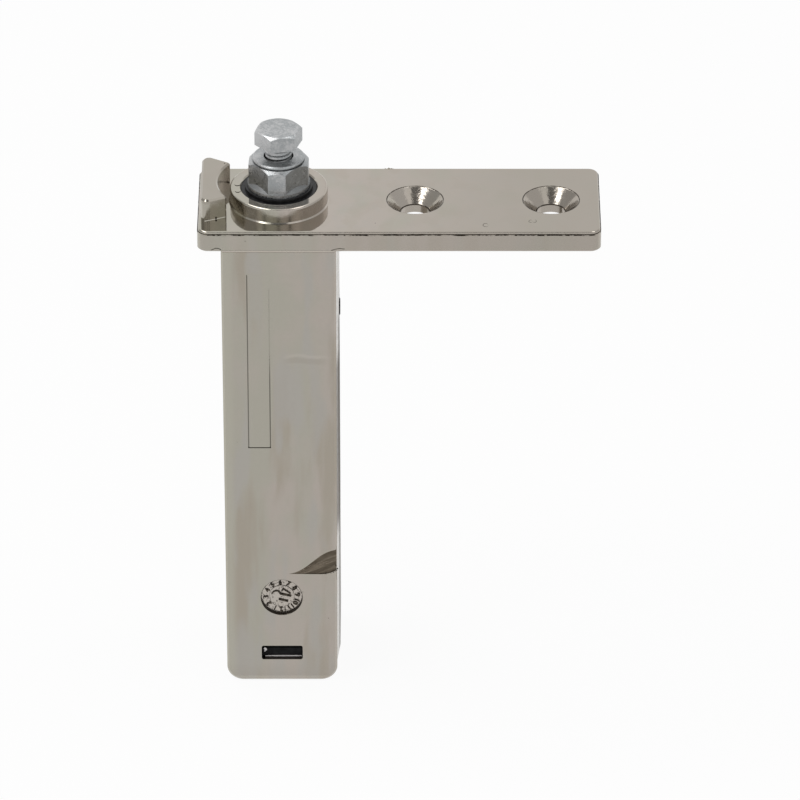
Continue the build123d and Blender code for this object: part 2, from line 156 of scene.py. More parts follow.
class HingeColours(bpy.types.PropertyGroup):
    """Colours of the hinge's finishes."""

    nickel_green: colour("Nickel, green cast", "Plating where it looks greenish", 0.414, 0.395, 0.338)
    nickel_pink: colour("Nickel, pink cast", "Plating where it looks pinkish", 0.446, 0.402, 0.358)
    # a darker tone; in the crease's trough it is painted shade
    nickel_dull: colour("Dull nickel", "Plating towards the plate's long end", 0.362, 0.330, 0.286)
    nickel_pale: colour("Pale nickel", "Plating along the casting's left edge", 0.446, 0.428, 0.362)
    nickel_brown: colour("Brown nickel", "Plating where it has a brown cloud", 0.384, 0.345, 0.288)
    nickel_cool: colour("Cool nickel", "Plating where it has a cool cloud", 0.414, 0.394, 0.360)
    # painted highlight: the bead's nickel is brighter than the rest of the plating
    nickel_bright: colour("Bright nickel", "Bead along the cartridge's upper end", 0.545, 0.498, 0.443)
    # painted shade: a darker tint for the reflection on the right wall's front edge
    edge_dull: colour("Dull edge", "Tint of the right wall where it only dimly mirrors", 0.42, 0.41, 0.40)
    # painted shade: dark tone for the right-facing wall of the cartridge's swell
    nickel_wall: colour("Dull wall", "Thinly plated right wall of the cartridge", 0.170, 0.160, 0.145)
    dial_floor: colour("Dial floor", "Pale floor of the date dial", 0.560, 0.510, 0.460)
    zinc_runout: colour("Zinc runout", "Dull cone where the shaft's flats run out", 0.165, 0.170, 0.170)
    # dark dirt, also used as painted shade on the dial's recess wall and the window's sill
    grime: colour("Grime", "Dark dirt in grooves and along the parting line", 0.022, 0.016, 0.011)
    # bare scraped metal, its dark tone partly a painted dark reflection
    bare_zinc: colour("Bare casting", "Scraped casting metal", 0.112, 0.092, 0.068)
    bare_zinc_bright: colour("Bright scratch", "Fresh scratches in the scraped metal", 0.205, 0.172, 0.132)
    zinc_light: colour("Zinc plating, light", "Zinc-plated steel where it is bright", 0.494, 0.497, 0.500)
    zinc_dark: colour("Zinc plating, dark", "Zinc-plated steel where it is dull", 0.336, 0.350, 0.356)
    plastic: colour("Black plastic", "Moulded black plastic", 0.007, 0.007, 0.0075)
    plastic_dust: colour("Plastic bloom", "Dull bloom on the black plastic", 0.016, 0.0165, 0.017)
    # painted highlight: the pale line along the tongue's lower edge and the grain of its glint
    plastic_rubbed: colour("Rubbed plastic", "Black plastic rubbed pale along an edge", 0.80, 0.77, 0.76)
    # painted highlight: the white of a small glint on the tongue
    chip: colour("Chipped plastic", "Fresh break in the black plastic", 0.9, 0.9, 0.9)
    oxide: colour("Black oxide", "Blackened steel of the stop pin", 0.018, 0.017, 0.017)
    oxide_worn: colour("Worn oxide", "Stop pin where the black is rubbed", 0.06, 0.057, 0.053)
    sintered: colour("Sintered steel", "Inner steel pieces", 0.30, 0.29, 0.275)
    sintered_dark: colour("Oily sintered steel", "Inner steel pieces where oil stands", 0.17, 0.16, 0.145)
    spring: colour("Spring steel", "Drawn wire of the closing spring", 0.17, 0.17, 0.18)
    spring_dark: colour("Spring scale", "Dark scale on the spring wire", 0.085, 0.083, 0.085)


class StudioSettings(bpy.types.PropertyGroup):
    """Camera, lights and cards of the studio."""

    camera_place: FloatVectorProperty(
        name="Camera place", description="Where the camera stands", size=3,
        default=(0.02846, -1.49969, 0.84897), subtype="TRANSLATION", unit="LENGTH")
    camera_drop: angle("Camera drop", "How far the camera looks down", 31.08)
    camera_lens: FloatProperty(
        name="Camera lens", description="Focal length in millimetres on a 36 mm sensor", default=329.58)
    floor_white: share("Floor white", "Share of the floor that shows as plain white", 0.93)
    ambient: FloatProperty(
        name="Ambient", description="Strength of the soft light from all round", default=0.55, min=0.0)
    key_power: FloatProperty(
        name="Key power", description="Power of the large lamp over the left", default=5.0, unit="POWER")
    fill_power: FloatProperty(
        name="Fill power", description="Power of the small lamp over the right", default=1.2, unit="POWER")


class Finish:
    """One material and its nodes, painted in the hinge's own frame."""

    def __init__(self, name):
        self.material = bpy.data.materials.new(name)
        self.material.use_nodes = True
        self.tree = self.material.node_tree
        self.shader = self.tree.nodes["Principled BSDF"]
        source = self.node("ShaderNodeTexCoord")
        self.place = source.outputs["Object"]
        self.x, self.y, self.z = self.axes(source.outputs["Object"])
        self.facing_x, self.facing_y, self.facing_z = self.axes(source.outputs["Normal"])

    def node(self, kind, **settings):
        """Add a node with its settings."""
        made = self.tree.nodes.new(kind)
        for key, value in settings.items():
            setattr(made, key, value)
        return made

    def put(self, socket, value):
        """Link an output to a socket, or set a plain value on it."""
        if isinstance(value, bpy.types.NodeSocket):
            self.tree.links.new(value, socket)
        elif socket.type == "RGBA":
            socket.default_value = (*value, 1.0)
        else:
            socket.default_value = value

    def set(self, **values):
        """Set the shader's sockets, named with underscores for spaces."""
        for key, value in values.items():
            self.put(self.shader.inputs[key.replace("_", " ")], value)

    def axes(self, vector):
        """The three parts of a vector."""
        parts = self.node("ShaderNodeSeparateXYZ")
        self.put(parts.inputs[0], vector)
        return parts.outputs[0], parts.outputs[1], parts.outputs[2]

    def math(self, operation, *values):
        """One step of arithmetic."""
        step = self.node("ShaderNodeMath", operation=operation)
        for socket, value in zip(step.inputs, values):
            self.put(socket, value)
        return step.outputs[0]

    def chain(self, operation, values):
        """One operation over all the values, from the first to the last."""
        result = values[0]
        for value in values[1:]:
            result = self.math(operation, result, value)
        return result

    def total(self, *values):
        """All values added."""
        return self.chain("ADD", values)

    def product(self, *values):
        """All values multiplied."""
        return self.chain("MULTIPLY", values)

    def most(self, *values):
        """The largest of the values."""
        return self.chain("MAXIMUM", values)

    def less(self, value, taken):
        """A value with another taken from it."""
        return self.math("SUBTRACT", value, taken)

    def plain(self, value):
        """A value without its sign."""
        return self.math("ABSOLUTE", value)

    def distance(self, across, along):
        """How far a place lies from a point, given its two offsets in a plane."""
        return self.math("SQRT", self.total(self.product(across, across), self.product(along, along)))

    def ramp(self, value, low, high, to_low=0.0, to_high=1.0):
        """A smooth step from one value to another between low and high."""
        step = self.node("ShaderNodeMapRange", interpolation_type="SMOOTHSTEP")
        for name, number in (("Value", value), ("From Min", low), ("From Max", high),
                             ("To Min", to_low), ("To Max", to_high)):
            self.put(step.inputs[name], number)
        return step.outputs[0]

    def band(self, value, low, high, soft):
        """1 between low and high, fading to 0 over a soft margin outside."""
        return self.product(self.ramp(value, low - soft, low), self.below(value, high, high + soft))

    def below(self, value, low, high):
        """1 up to low, fading to 0 at high."""
        return self.ramp(value, low, high, 1.0, 0.0)

    def noise(self, per_metre, detail=3.0, stretch=(1.0, 1.0, 1.0), place=None, roughness=0.5):
        """Cloudy noise from about 0.3 to 0.7, with so many lumps in a metre."""
        spread = self.node("ShaderNodeMapping")
        self.put(spread.inputs["Vector"], self.place if place is None else place)
        spread.inputs["Scale"].default_value = stretch
        cloud = self.node("ShaderNodeTexNoise")
        self.put(cloud.inputs["Vector"], spread.outputs[0])
        cloud.inputs["Scale"].default_value = per_metre
        cloud.inputs["Detail"].default_value = detail
        cloud.inputs["Roughness"].default_value = roughness
        return cloud.outputs["Fac"]

    def spots(self, per_metre, radius):
        """Small round spots at random places, the radius as a share of their spacing."""
        full = 0.6 * radius
        cells = self.node("ShaderNodeTexVoronoi")
        self.put(cells.inputs["Vector"], self.place)
        cells.inputs["Scale"].default_value = per_metre
        return self.below(cells.outputs["Distance"], full, radius)

    def mix(self, amount, first, second):
        """A colour between two others."""
        amount_socket, first_socket, second_socket, colour_output = 0, 6, 7, 2
        blend = self.node("ShaderNodeMix", data_type="RGBA")
        self.put(blend.inputs[amount_socket], amount)
        self.put(blend.inputs[first_socket], first)
        self.put(blend.inputs[second_socket], second)
        return blend.outputs[colour_output]

    def bump(self, height, depth, under=None):
        """Relief of a height map, so many metres deep."""
        relief = self.node("ShaderNodeBump")
        relief.inputs["Distance"].default_value = depth
        self.put(relief.inputs["Height"], height)
        if under is not None:
            self.put(relief.inputs["Normal"], under)
        return relief.outputs[0]


def plating_patches(finish):
    """Soft patches in the plating, as wide as a finger."""
    return finish.noise(120, detail=2)


def plating_clouds(finish, colours, sizes):
    """Green and pink clouds in the plating, with streaks and a pale left edge on the cartridge."""
    soft = 0.6 * MM
    cartridge = finish.below(finish.z, -sizes.plate_thick - soft, -sizes.plate_thick)
    streaks = finish.noise(95, detail=3, stretch=(1.3, 1.0, 0.12))
    clouds = finish.total(finish.product(streaks, 0.6), finish.product(plating_patches(finish), 0.4))
    pinker = finish.ramp(finish.x, -12.0 * MM, 8.0 * MM, -0.05, 0.07)
    pink = finish.ramp(finish.total(clouds, pinker), 0.40, 0.62)
    streaky = finish.ramp(cartridge, 0.0, 1.0, 0.35, 1.0)
    brown = finish.ramp(finish.noise(118, detail=3, stretch=(1.3, 1.0, 0.2)), 0.47, 0.63, 0.0, 0.9)
    cool = finish.ramp(finish.noise(143, detail=2, stretch=(1.3, 1.0, 0.25)), 0.50, 0.64, 0.0, 0.8)
    left = -sizes.box_side
    left_edge = finish.ramp(finish.x, left + 1.3 * MM, left + 3.3 * MM, 0.8, 0.0)
    tone = finish.mix(pink, colours.nickel_green, colours.nickel_pink)
    tone = finish.mix(finish.product(brown, streaky), tone, colours.nickel_brown)
    tone = finish.mix(finish.product(cool, streaky), tone, colours.nickel_cool)
    return finish.mix(finish.product(cartridge, left_edge), tone, colours.nickel_pale)


def long_end_mask(finish):
    """The plating is darker towards the plate's long end, most on its top."""
    far = 70.0 * MM
    return finish.product(finish.ramp(finish.x, 0.0, far, 0.0, 0.8),
                          finish.ramp(finish.facing_z, 0.5, 0.9, 0.6, 1.0))


def foot_mask(finish):
    """The plating is a little darker towards the cartridge's foot."""
    foot = cad_low.z
    return finish.ramp(finish.z, foot + 1.2 * MM, foot + 6.2 * MM, 0.3, 0.0)


def lug_mask(finish, sizes):
    """The plating is darker on the stop lug, which stands higher than the ring."""
    over_ring = sizes.ring_top + 0.4 * MM
    return finish.ramp(finish.z, over_ring, over_ring + 0.2 * MM, 0.0, 0.65)


def right_wall_mask(finish, sizes):
    """Painted shade on the right-facing wall of the swell, darkest below the stop pin."""
    below_pin, above_pin = -31.0 * MM, -26.0 * MM
    proud = sizes.box_side + 0.2 * MM
    return finish.product(finish.ramp(finish.facing_x, 0.9, 0.97),
                          finish.ramp(finish.x, proud, proud + 0.1 * MM),
                          finish.ramp(finish.z, below_pin, above_pin, 0.7, 0.1))


def dim_edge_mask(finish, sizes):
    """Painted shade: half-way down, the reflection on the right wall's front edge is tinted darker."""
    foot, top, soft = -82.0 * MM, -42.0 * MM, 7.0 * MM
    edge = sizes.box_side - 0.5 * MM
    return finish.product(finish.ramp(finish.facing_x, 0.2, 0.5),
                          finish.ramp(finish.x, edge, edge + 0.2 * MM),
                          finish.band(finish.z, foot, top, soft))


def ring_wall_mask(finish, sizes):
    """Painted highlight: the collar ring's wall is painted brighter towards its sides."""
    soft = 0.1 * MM
    foot = 0.2 * MM
    reach = sizes.ring_radius + soft
    return finish.product(finish.band(finish.z, foot, sizes.ring_top - sizes.edge_round, soft),
                          finish.band(finish.x, -reach, reach, soft),
                          finish.ramp(finish.plain(finish.x), 3.0 * MM, 8.0 * MM, 0.0, 0.7),
                          finish.below(finish.plain(finish.facing_z), 0.2, 0.4))


def front_mask(finish, sizes):
    """The cartridge's front face, with what is sunk into it by less than half a millimetre."""
    front = -sizes.box_front
    return finish.below(finish.y, front + 0.45 * MM, front + 0.55 * MM)


def sunk_mask(finish, sizes):
    """What is sunk a little into the cartridge's front face."""
    front = -sizes.box_front
    return finish.product(finish.ramp(finish.y, front + 0.02 * MM, front + 0.03 * MM),
                          front_mask(finish, sizes))


def scrape_mask(finish, sizes):
    """The scrape's slanting floor and its rim, where the casting is bare; its dark tone is partly a painted
    dark reflection.
    """
    soft = 0.1 * MM
    slope = math.tan(sizes.scrape_tilt)
    at_axis = sizes.scrape_depth - sizes.scrape_tip * slope - sizes.box_front
    floor = finish.total(finish.product(finish.x, slope), at_axis)
    on_floor = finish.below(finish.plain(finish.less(finish.y, floor)), 0.02 * MM, 0.03 * MM)
    corner = sizes.box_side - 0.8 * MM
    rim = finish.product(sunk_mask(finish, sizes), finish.below(finish.x, corner, corner + soft))
    tip = sizes.scrape_tip - 0.5 * MM
    foot = -sizes.scrape_drop - 1.7 * MM
    top = -sizes.scrape_drop + 7.9 * MM
    return finish.product(finish.most(on_floor, rim), finish.band(finish.z, foot, top, soft),
                          finish.ramp(finish.x, tip, tip + soft))


def scrape_scratches(finish):
    """Fine scratches, dragged at a slant along the scrape."""
    drag = finish.node("ShaderNodeVectorRotate", rotation_type="Y_AXIS")
    drag.inputs["Angle"].default_value = math.radians(24.0)
    finish.put(drag.inputs["Vector"], finish.place)
    return finish.noise(900, detail=4, stretch=(0.09, 1.0, 1.6), place=drag.outputs[0], roughness=0.6)


def insert_mask(finish, sizes):
    """The upright field on the front face that an insert of the mould made, with its outline."""
    over, soft = 0.09 * MM, 0.1 * MM
    return finish.product(
        front_mask(finish, sizes),
        finish.band(finish.z, -sizes.insert_foot - over, -sizes.insert_top + over, soft),
        finish.band(finish.x, -sizes.insert_left - over, -sizes.insert_right + over, soft))


def witness_mask(finish, sizes):
    """The insert's outline: left, right and lower lines, the right one faint towards its top."""
    inside, soft = 0.31 * MM, 0.1 * MM
    clear_below, faint_above = -42.0 * MM, -31.0 * MM
    left = -sizes.insert_left + inside
    right = -sizes.insert_right - inside
    foot = -sizes.insert_foot + inside
    left_line = finish.ramp(finish.x, left, left + soft, 0.6, 0.0)
    right_line = finish.product(finish.ramp(finish.x, right - soft, right),
                                finish.ramp(finish.z, clear_below, faint_above, 0.65, 0.12))
    lower_line = finish.ramp(finish.z, foot, foot + soft, 0.95, 0.0)
    return finish.product(sunk_mask(finish, sizes), insert_mask(finish, sizes),
                          finish.most(left_line, right_line, lower_line))


def crease_masks(finish, sizes):
    """A painted highlight along the crest and a painted shade along the trough of a shallow, wavy crease in
    the front face.
    """
    wave = finish.product(finish.less(plating_patches(finish), 0.5), 3.0 * MM)
    level = finish.total(finish.z, wave, sizes.crease_drop)
    creased = finish.product(front_mask(finish, sizes),
                             finish.band(finish.x, 3.5 * MM, 9.0 * MM, 3.5 * MM))
    crest = finish.product(creased, finish.band(level, 0.0, 0.3 * MM, 0.5 * MM), 0.22)
    trough_shade = finish.product(creased, finish.band(level, -1.4 * MM, -0.8 * MM, 0.8 * MM), 0.4)
    return crest, trough_shade


def dial_distance(finish, sizes):
    """Distance from the date dial's centre."""
    return finish.distance(finish.x, finish.total(finish.z, sizes.dial_drop))


def dial_wall_mask(finish, sizes):
    """Painted shade on the wall of the date dial's recess."""
    soft = 0.1 * MM
    floor = sizes.dial_depth - sizes.box_front
    rim = sizes.dial_radius
    return finish.product(finish.below(finish.y, floor, floor + soft),
                          finish.below(finish.plain(finish.facing_y), 0.4, 0.7),
                          finish.band(dial_distance(finish, sizes), rim - 0.2 * MM, rim + 0.1 * MM, soft))


def dial_floor_mask(finish, sizes):
    """The floor of the date dial's recess."""
    near, soft = 0.05 * MM, 0.02 * MM
    floor = sizes.dial_depth - sizes.box_front
    rim = sizes.dial_radius
    return finish.product(finish.below(dial_distance(finish, sizes), rim - 0.1 * MM, rim),
                          finish.band(finish.y, floor - near, floor + near, soft))


def hole_distance(finish, sizes):
    """Distance from the axis of the nearer screw hole."""
    from_middle = finish.plain(finish.less(finish.x, sizes.hole_middle))
    return finish.distance(finish.less(from_middle, sizes.hole_pitch / 2), finish.y)


def hole_rim_mask(finish, sizes):
    """Dark lines round the countersinks' upper and lower rims, worn in places."""
    soft = 0.04 * MM
    sink, hole = sizes.sink_radius, sizes.hole_radius
    floor = hole - sink
    away = hole_distance(finish, sizes)
    upper = finish.product(finish.band(away, sink - 0.09 * MM, sink + 0.11 * MM, soft),
                           finish.ramp(finish.z, -0.4 * MM, -0.3 * MM))
    lower = finish.product(finish.band(away, hole - 0.1 * MM, hole + 0.15 * MM, soft),
                           finish.band(finish.z, floor - 0.1 * MM, floor + 0.15 * MM, 0.03 * MM))
    worn = finish.ramp(finish.noise(700, detail=2), 0.35, 0.5, 0.5, 0.9)
    return finish.product(worn, finish.most(upper, lower))


def parting_mask(finish, sizes):
    """The ragged line round the plate's edge where the mould halves met."""
    inner, outer = 0.3 * MM, 0.2 * MM
    outside = finish.most(
        finish.ramp(finish.plain(finish.y), cad_high.y - inner, cad_high.y - outer),
        finish.ramp(finish.x, cad_high.x - inner, cad_high.x - outer),
        finish.below(finish.x, cad_low.x + outer, cad_low.x + inner))
    ragged = finish.noise(420, detail=4, stretch=(1.0, 1.0, 0.4), roughness=0.65)
    level = finish.total(finish.z, finish.product(finish.less(ragged, 0.5), 0.5 * MM))
    broken = finish.ramp(finish.noise(700, detail=4, roughness=0.7), 0.40, 0.54, 0.15, 1.0)
    line = finish.band(level, -sizes.parting_drop - 0.23 * MM, -sizes.parting_drop + 0.05 * MM, 0.06 * MM)
    return finish.product(outside, broken, line)


def sill_mask(finish, sizes):
    """Painted shadow on the sill of the cartridge's front window."""
    soft = 0.1 * MM
    half = sizes.tongue_half + 0.25 * MM
    foot, top = -sizes.wear_drop - 0.58 * MM, -sizes.wear_drop - 0.08 * MM
    return finish.product(finish.ramp(finish.facing_z, 0.5, 0.9), finish.band(finish.x, -half, half, soft),
                          finish.band(finish.z, foot, top, soft), 0.9)


def plating_relief(finish, sizes, scored):
    """Broad waves, chatter in the countersinks, a fine grain and the scored scrape."""
    sink, hole = sizes.sink_radius, sizes.hole_radius
    away = hole_distance(finish, sizes)
    in_sink = finish.product(finish.below(away, sink - 0.15 * MM, sink - 0.05 * MM),
                             finish.ramp(away, hole, hole + 0.1 * MM))
    waves = finish.bump(finish.noise(48, detail=1, stretch=(1.0, 1.0, 0.5)), 0.07 * MM)
    chatter = finish.bump(finish.product(finish.noise(1100, detail=3), in_sink), 0.06 * MM, waves)
    grain = finish.bump(finish.noise(1500, detail=3), 0.004 * MM, chatter)
    return finish.bump(scored, 0.12 * MM, grain)


def plated_casting_finish(colours, sizes):
    """Nickel over a zinc casting: polished on top, cloudy satin below, grimy lines, a bare scrape, and
    painted shade, highlights and a dark reflection in places.
    """
    finish = Finish("plated_casting_finish")
    wall_shade = right_wall_mask(finish, sizes)
    dial_floor = dial_floor_mask(finish, sizes)
    speckle = finish.product(dial_floor, finish.ramp(finish.noise(2300, detail=3), 0.52, 0.64, 0.0, 0.6))
    pits = finish.product(finish.spots(190, 0.03), 0.7)
    # dirt in lines, pits and speckles, with painted shade on the dial's wall and the window's sill
    grime = finish.most(witness_mask(finish, sizes), dial_wall_mask(finish, sizes),
                        parting_mask(finish, sizes), pits, speckle,
                        hole_rim_mask(finish, sizes), sill_mask(finish, sizes))
    scrape = scrape_mask(finish, sizes)
    scratches = scrape_scratches(finish)
    # bare metal of the scrape, darkened partly as a painted dark reflection
    bare_metal_and_dark_reflection = finish.mix(finish.ramp(scratches, 0.44, 0.66), colours.bare_zinc, colours.bare_zinc_bright)
    crest, trough_shade = crease_masks(finish, sizes)
    coats = (
        (long_end_mask(finish), colours.nickel_dull),
        (foot_mask(finish), colours.nickel_dull),
        (lug_mask(finish, sizes), colours.nickel_dull),
        # painted shade on the right-facing wall
        (wall_shade, colours.nickel_wall),
        # painted highlight on the ring wall, in the dial floor's pale colour
        (ring_wall_mask(finish, sizes), colours.dial_floor),
        (finish.product(insert_mask(finish, sizes), 0.5), colours.nickel_green),
        (finish.product(dial_floor, 0.6), colours.dial_floor),
        # painted highlight on the crease's crest, in the dial floor's pale colour, and painted shade in its
        # trough
        (crest, colours.dial_floor),
        (trough_shade, colours.nickel_dull),
        (grime, colours.grime),
        (scrape, bare_metal_and_dark_reflection),
    )
    tone = plating_clouds(finish, colours, sizes)
    for amount, coat in coats:
        tone = finish.mix(amount, tone, coat)
    polished = finish.ramp(finish.facing_z, 0.5, 0.95)
    satin = finish.ramp(finish.noise(800, detail=4), 0.3, 0.7, 0.14, 0.26)
    gloss = finish.total(finish.product(polished, 0.06), finish.product(finish.less(1.0, polished), satin))
    rough = finish.total(finish.product(finish.most(grime, scrape, wall_shade), 0.3), gloss)
    white = (1.0, 1.0, 1.0)
    finish.set(Base_Color=tone, Metallic=1.0, Roughness=rough,
               Normal=plating_relief(finish, sizes, finish.product(scratches, scrape)),
               # the specular tint darkens the right front edge's reflection as painted shade
               Specular_Tint=finish.mix(dim_edge_mask(finish, sizes), white, colours.edge_dull))
    return finish.material


def bright_bead_finish(colours):
    """Polished nickel along a narrow bead, painted brighter than the rest as a painted highlight."""
    finish = Finish("bright_bead_finish")
    finish.set(Base_Color=colours.nickel_bright, Metallic=1.0,
               Roughness=finish.ramp(finish.noise(600, detail=3), 0.3, 0.7, 0.18, 0.3))
    return finish.material


def grimy_metal_finish(name, colours, wear):
    """Casting metal that is black with dirt and worn bright in specks: signs, burrs and flash."""
    finish = Finish(name)
    worn = finish.ramp(finish.noise(2600, detail=3), 0.52 - wear, 0.68 - wear)
    tone = finish.mix(worn, colours.grime, colours.bare_zinc)
    relief = finish.bump(finish.noise(3500, detail=2), 0.02 * MM)
    roughness = finish.ramp(worn, 0.0, 1.0, 0.6, 0.35)
    finish.set(Base_Color=tone, Metallic=0.7, Roughness=roughness, Normal=relief)
    return finish.material


def zinc_finish(name, colours, lift):
    """Zinc-plated steel with turning marks round the axis, a speckled skin, a dull run-out cone, and
    painted light: faces to the left lighter, faces to the right darker.
    """
    finish = Finish(name)
    runout_foot, runout_top = 5.0 * MM, 8.0 * MM
    turned = finish.node("ShaderNodeCombineXYZ")
    finish.put(turned.inputs["X"], finish.distance(finish.x, finish.y))
    finish.put(turned.inputs["Y"], finish.z)
    lines = finish.noise(5200, detail=2, place=turned.outputs[0])
    speckle = finish.noise(1700, detail=4, roughness=0.6)
    clouds = finish.noise(320, detail=2)
    # painted light: left-facing sides lighter, right-facing sides darker
    painted_light_from_left = finish.ramp(finish.facing_x, -0.75, 0.75, lift + 0.06, lift - 0.1)
    cloudy = finish.total(finish.product(speckle, 0.6), finish.product(clouds, 0.4), painted_light_from_left)
    tone = finish.mix(finish.ramp(cloudy, 0.40, 0.62), colours.zinc_dark, colours.zinc_light)
    runout = finish.product(finish.band(finish.facing_z, 0.45, 0.85, 0.08),
                            finish.band(finish.z, runout_foot, runout_top, 0.2 * MM))
    tone = finish.mix(finish.product(runout, 0.8), tone, colours.zinc_runout)
    skin = finish.bump(speckle, 0.05 * MM)
    rough = finish.total(finish.ramp(speckle, 0.3, 0.7, 0.26, 0.44), finish.product(runout, 0.2))
    finish.set(Base_Color=tone, Metallic=1.0, Roughness=rough,
               Normal=finish.bump(lines, 0.006 * MM, skin))
    return finish.material


def black_plastic_finish(name, colours, shine):
    """Moulded black plastic with a faint bloom, more or less shiny."""
    finish = Finish(name)
    bloom = finish.ramp(finish.noise(700, detail=4), 0.42, 0.7)
    finish.set(Base_Color=finish.mix(bloom, colours.plastic, colours.plastic_dust),
               Roughness=finish.ramp(bloom, 0.0, 1.0, 0.36, 0.5), Specular_IOR_Level=shine,
               Normal=finish.bump(finish.noise(900, detail=2), 0.01 * MM))
    return finish.material


def rubbed_plastic_finish(colours):
    """A painted highlight: black plastic painted pale along the tongue's lower edge, above the sill of its
    window.
    """
    finish = Finish("rubbed_plastic_finish")
    left_black = finish.ramp(finish.noise(1300, detail=3, stretch=(0.5, 1.0, 1.0)), 0.6, 0.74)
    finish.set(Base_Color=finish.mix(left_black, colours.plastic_rubbed, colours.plastic_dust),
               Roughness=finish.ramp(left_black, 0.0, 1.0, 0.45, 0.3),
               Normal=finish.bump(finish.noise(2200, detail=2, stretch=(0.3, 1.0, 1.0)), 0.015 * MM))
    return finish.material


def chip_finish(colours):
    """Painted glint: pale grainy white on small lumps of the plastic."""
    finish = Finish("chip_finish")
    grain = finish.ramp(finish.noise(2600, detail=2), 0.4, 0.65)
    finish.set(Base_Color=finish.mix(grain, colours.chip, colours.plastic_rubbed), Roughness=0.4,
               Normal=finish.bump(grain, 0.01 * MM))
    return finish.material


def black_steel_finish(colours):
    """Blackened steel, rubbed in places."""
    finish = Finish("black_steel_finish")
    rubbed = finish.ramp(finish.noise(1400, detail=3), 0.5, 0.68)
    finish.set(Base_Color=finish.mix(rubbed, colours.oxide, colours.oxide_worn), Metallic=0.85,
               Roughness=finish.ramp(rubbed, 0.0, 1.0, 0.42, 0.28),
               Normal=finish.bump(finish.noise(2400, detail=2), 0.01 * MM))
    return finish.material


def sintered_finish(colours):
    """Oiled sintered steel with fine pores."""
    finish = Finish("sintered_finish")
    oil = finish.ramp(finish.noise(180, detail=3), 0.4, 0.62)
    pores = finish.spots(2600, 0.2)
    tone = finish.mix(oil, colours.sintered, colours.sintered_dark)
    finish.set(Base_Color=finish.mix(pores, tone, colours.grime), Metallic=1.0,
               Roughness=finish.ramp(oil, 0.0, 1.0, 0.48, 0.26),
               Normal=finish.bump(pores, -0.03 * MM))
    return finish.material


def spring_finish(colours):
    """Drawn spring wire with scale and draw lines along the coil."""
    finish = Finish("spring_finish")
    scale = finish.ramp(finish.noise(240, detail=3), 0.42, 0.62)
    lines = finish.noise(1500, detail=2, stretch=(0.25, 0.25, 3.0))
    finish.set(Base_Color=finish.mix(scale, colours.spring, colours.spring_dark), Metallic=1.0,
               Roughness=finish.ramp(scale, 0.0, 1.0, 0.3, 0.46), Normal=finish.bump(lines, 0.02 * MM))
    return finish.material


def dress(node, material):
    """Give a node of the frame its finish."""
    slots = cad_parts[node].data.materials
    slots.clear()
    slots.append(material)


def add_piece(name, shape, material, body, smooth=False):
    """Turn a finished bmesh into a piece that rides on a body."""
    sharp_from = math.radians(40.0)
    bmesh.ops.recalc_face_normals(shape, faces=shape.faces)
    mesh = bpy.data.meshes.new(name)
    shape.to_mesh(mesh)
    shape.free()
    if smooth:
        mesh.shade_smooth()
        mesh.set_sharp_from_angle(angle=sharp_from)
    return place_piece(name, mesh, material, body)


def add_mark(name, shape, material, smooth=False):
    """Turn a finished bmesh into a mark on the casting."""
    return add_piece(name, shape, material, "door_side", smooth)


def place_piece(name, mesh, material, body):
    """Put a finished mesh on a body, in one finish."""
    mesh.materials.clear()
    mesh.materials.append(material)
    piece = bpy.data.objects.new(name, mesh)
    bpy.context.scene.collection.objects.link(piece)
    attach(piece, body)
    return piece


def run_out_swell(mesh, sizes):
    """Bevel the lower end of the right wall's swell, so that it runs out on the box's foot corner."""
    foot = cad_low.z
    blunt_end = foot + 0.5 * MM
    inner_edge = sizes.swell_root - 0.1 * MM
    for vertex in mesh.vertices:
        if vertex.co.x > inner_edge and vertex.co.z < blunt_end:
            outer = vertex.co.x > sizes.box_side
            vertex.co.z = foot + sizes.foot_corner if outer else -sizes.swell_foot


def skin_sections(shape, sections, closed):
    """Join rings of points, one after another, with quads and close the ends of an open run."""
    rings = [[shape.verts.new(point) for point in section] for section in sections]
    pairs = list(zip(rings, rings[1:]))
    if closed:
        pairs.append((rings[-1], rings[0]))
    count = len(rings[0])
    for first, second in pairs:
        for i in range(count):
            j = (i + 1) % count
            shape.faces.new((first[i], first[j], second[j], second[i]))
    if not closed:
        shape.faces.new(rings[0][::-1])
        shape.faces.new(rings[-1])


def plate_route(sizes, spacing):
    """Points round the plate's outline, each with the direction that points out of the plate."""
    steps = 8
    corner = sizes.plate_corner
    low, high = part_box("hinge_casting")
    middles = [Vector((x - math.copysign(corner, x), y - math.copysign(corner, y)))
               for x, y in ((high.x, high.y), (low.x, high.y), (low.x, low.y), (high.x, low.y))]
    route = []
    for quarter, middle in enumerate(middles):
        for step in range(steps + 1):
            turn = math.pi / 2 * (quarter + step / steps)
            out = Vector((math.cos(turn), math.sin(turn)))
            route.append((middle + out * corner, out))
        after = middles[(quarter + 1) % len(middles)]
        count = int((after - middle).length / spacing)
        route += [(middle.lerp(after, i / count) + out * corner, out) for i in range(1, count)]
    return route


def ring_route(radius, steps):
    """Points round a circle about the pivot, each with the direction that points outward."""
    turns = [2 * math.pi * step / steps for step in range(steps)]
    outs = [Vector((math.cos(turn), math.sin(turn))) for turn in turns]
    return [(out * radius, out) for out in outs]


def round_edge(shape, route, level, radius):
    """Round over the upper edge of an outline whose top is at level."""
    steps = 8
    root_reach, root_drop = 0.4 * radius, 0.6 * radius
    sections = []
    for point, out in route:
        centre = point - out * radius
        root = centre + out * root_reach
        section = [Vector((root.x, root.y, level - root_drop))]
        for step in range(steps + 1):
            turn = math.pi / 2 * step / steps
            spot = centre + out * radius * math.cos(turn)
            section.append(Vector((spot.x, spot.y, level - radius + radius * math.sin(turn))))
        sections.append(section)
    skin_sections(shape, sections, closed=True)


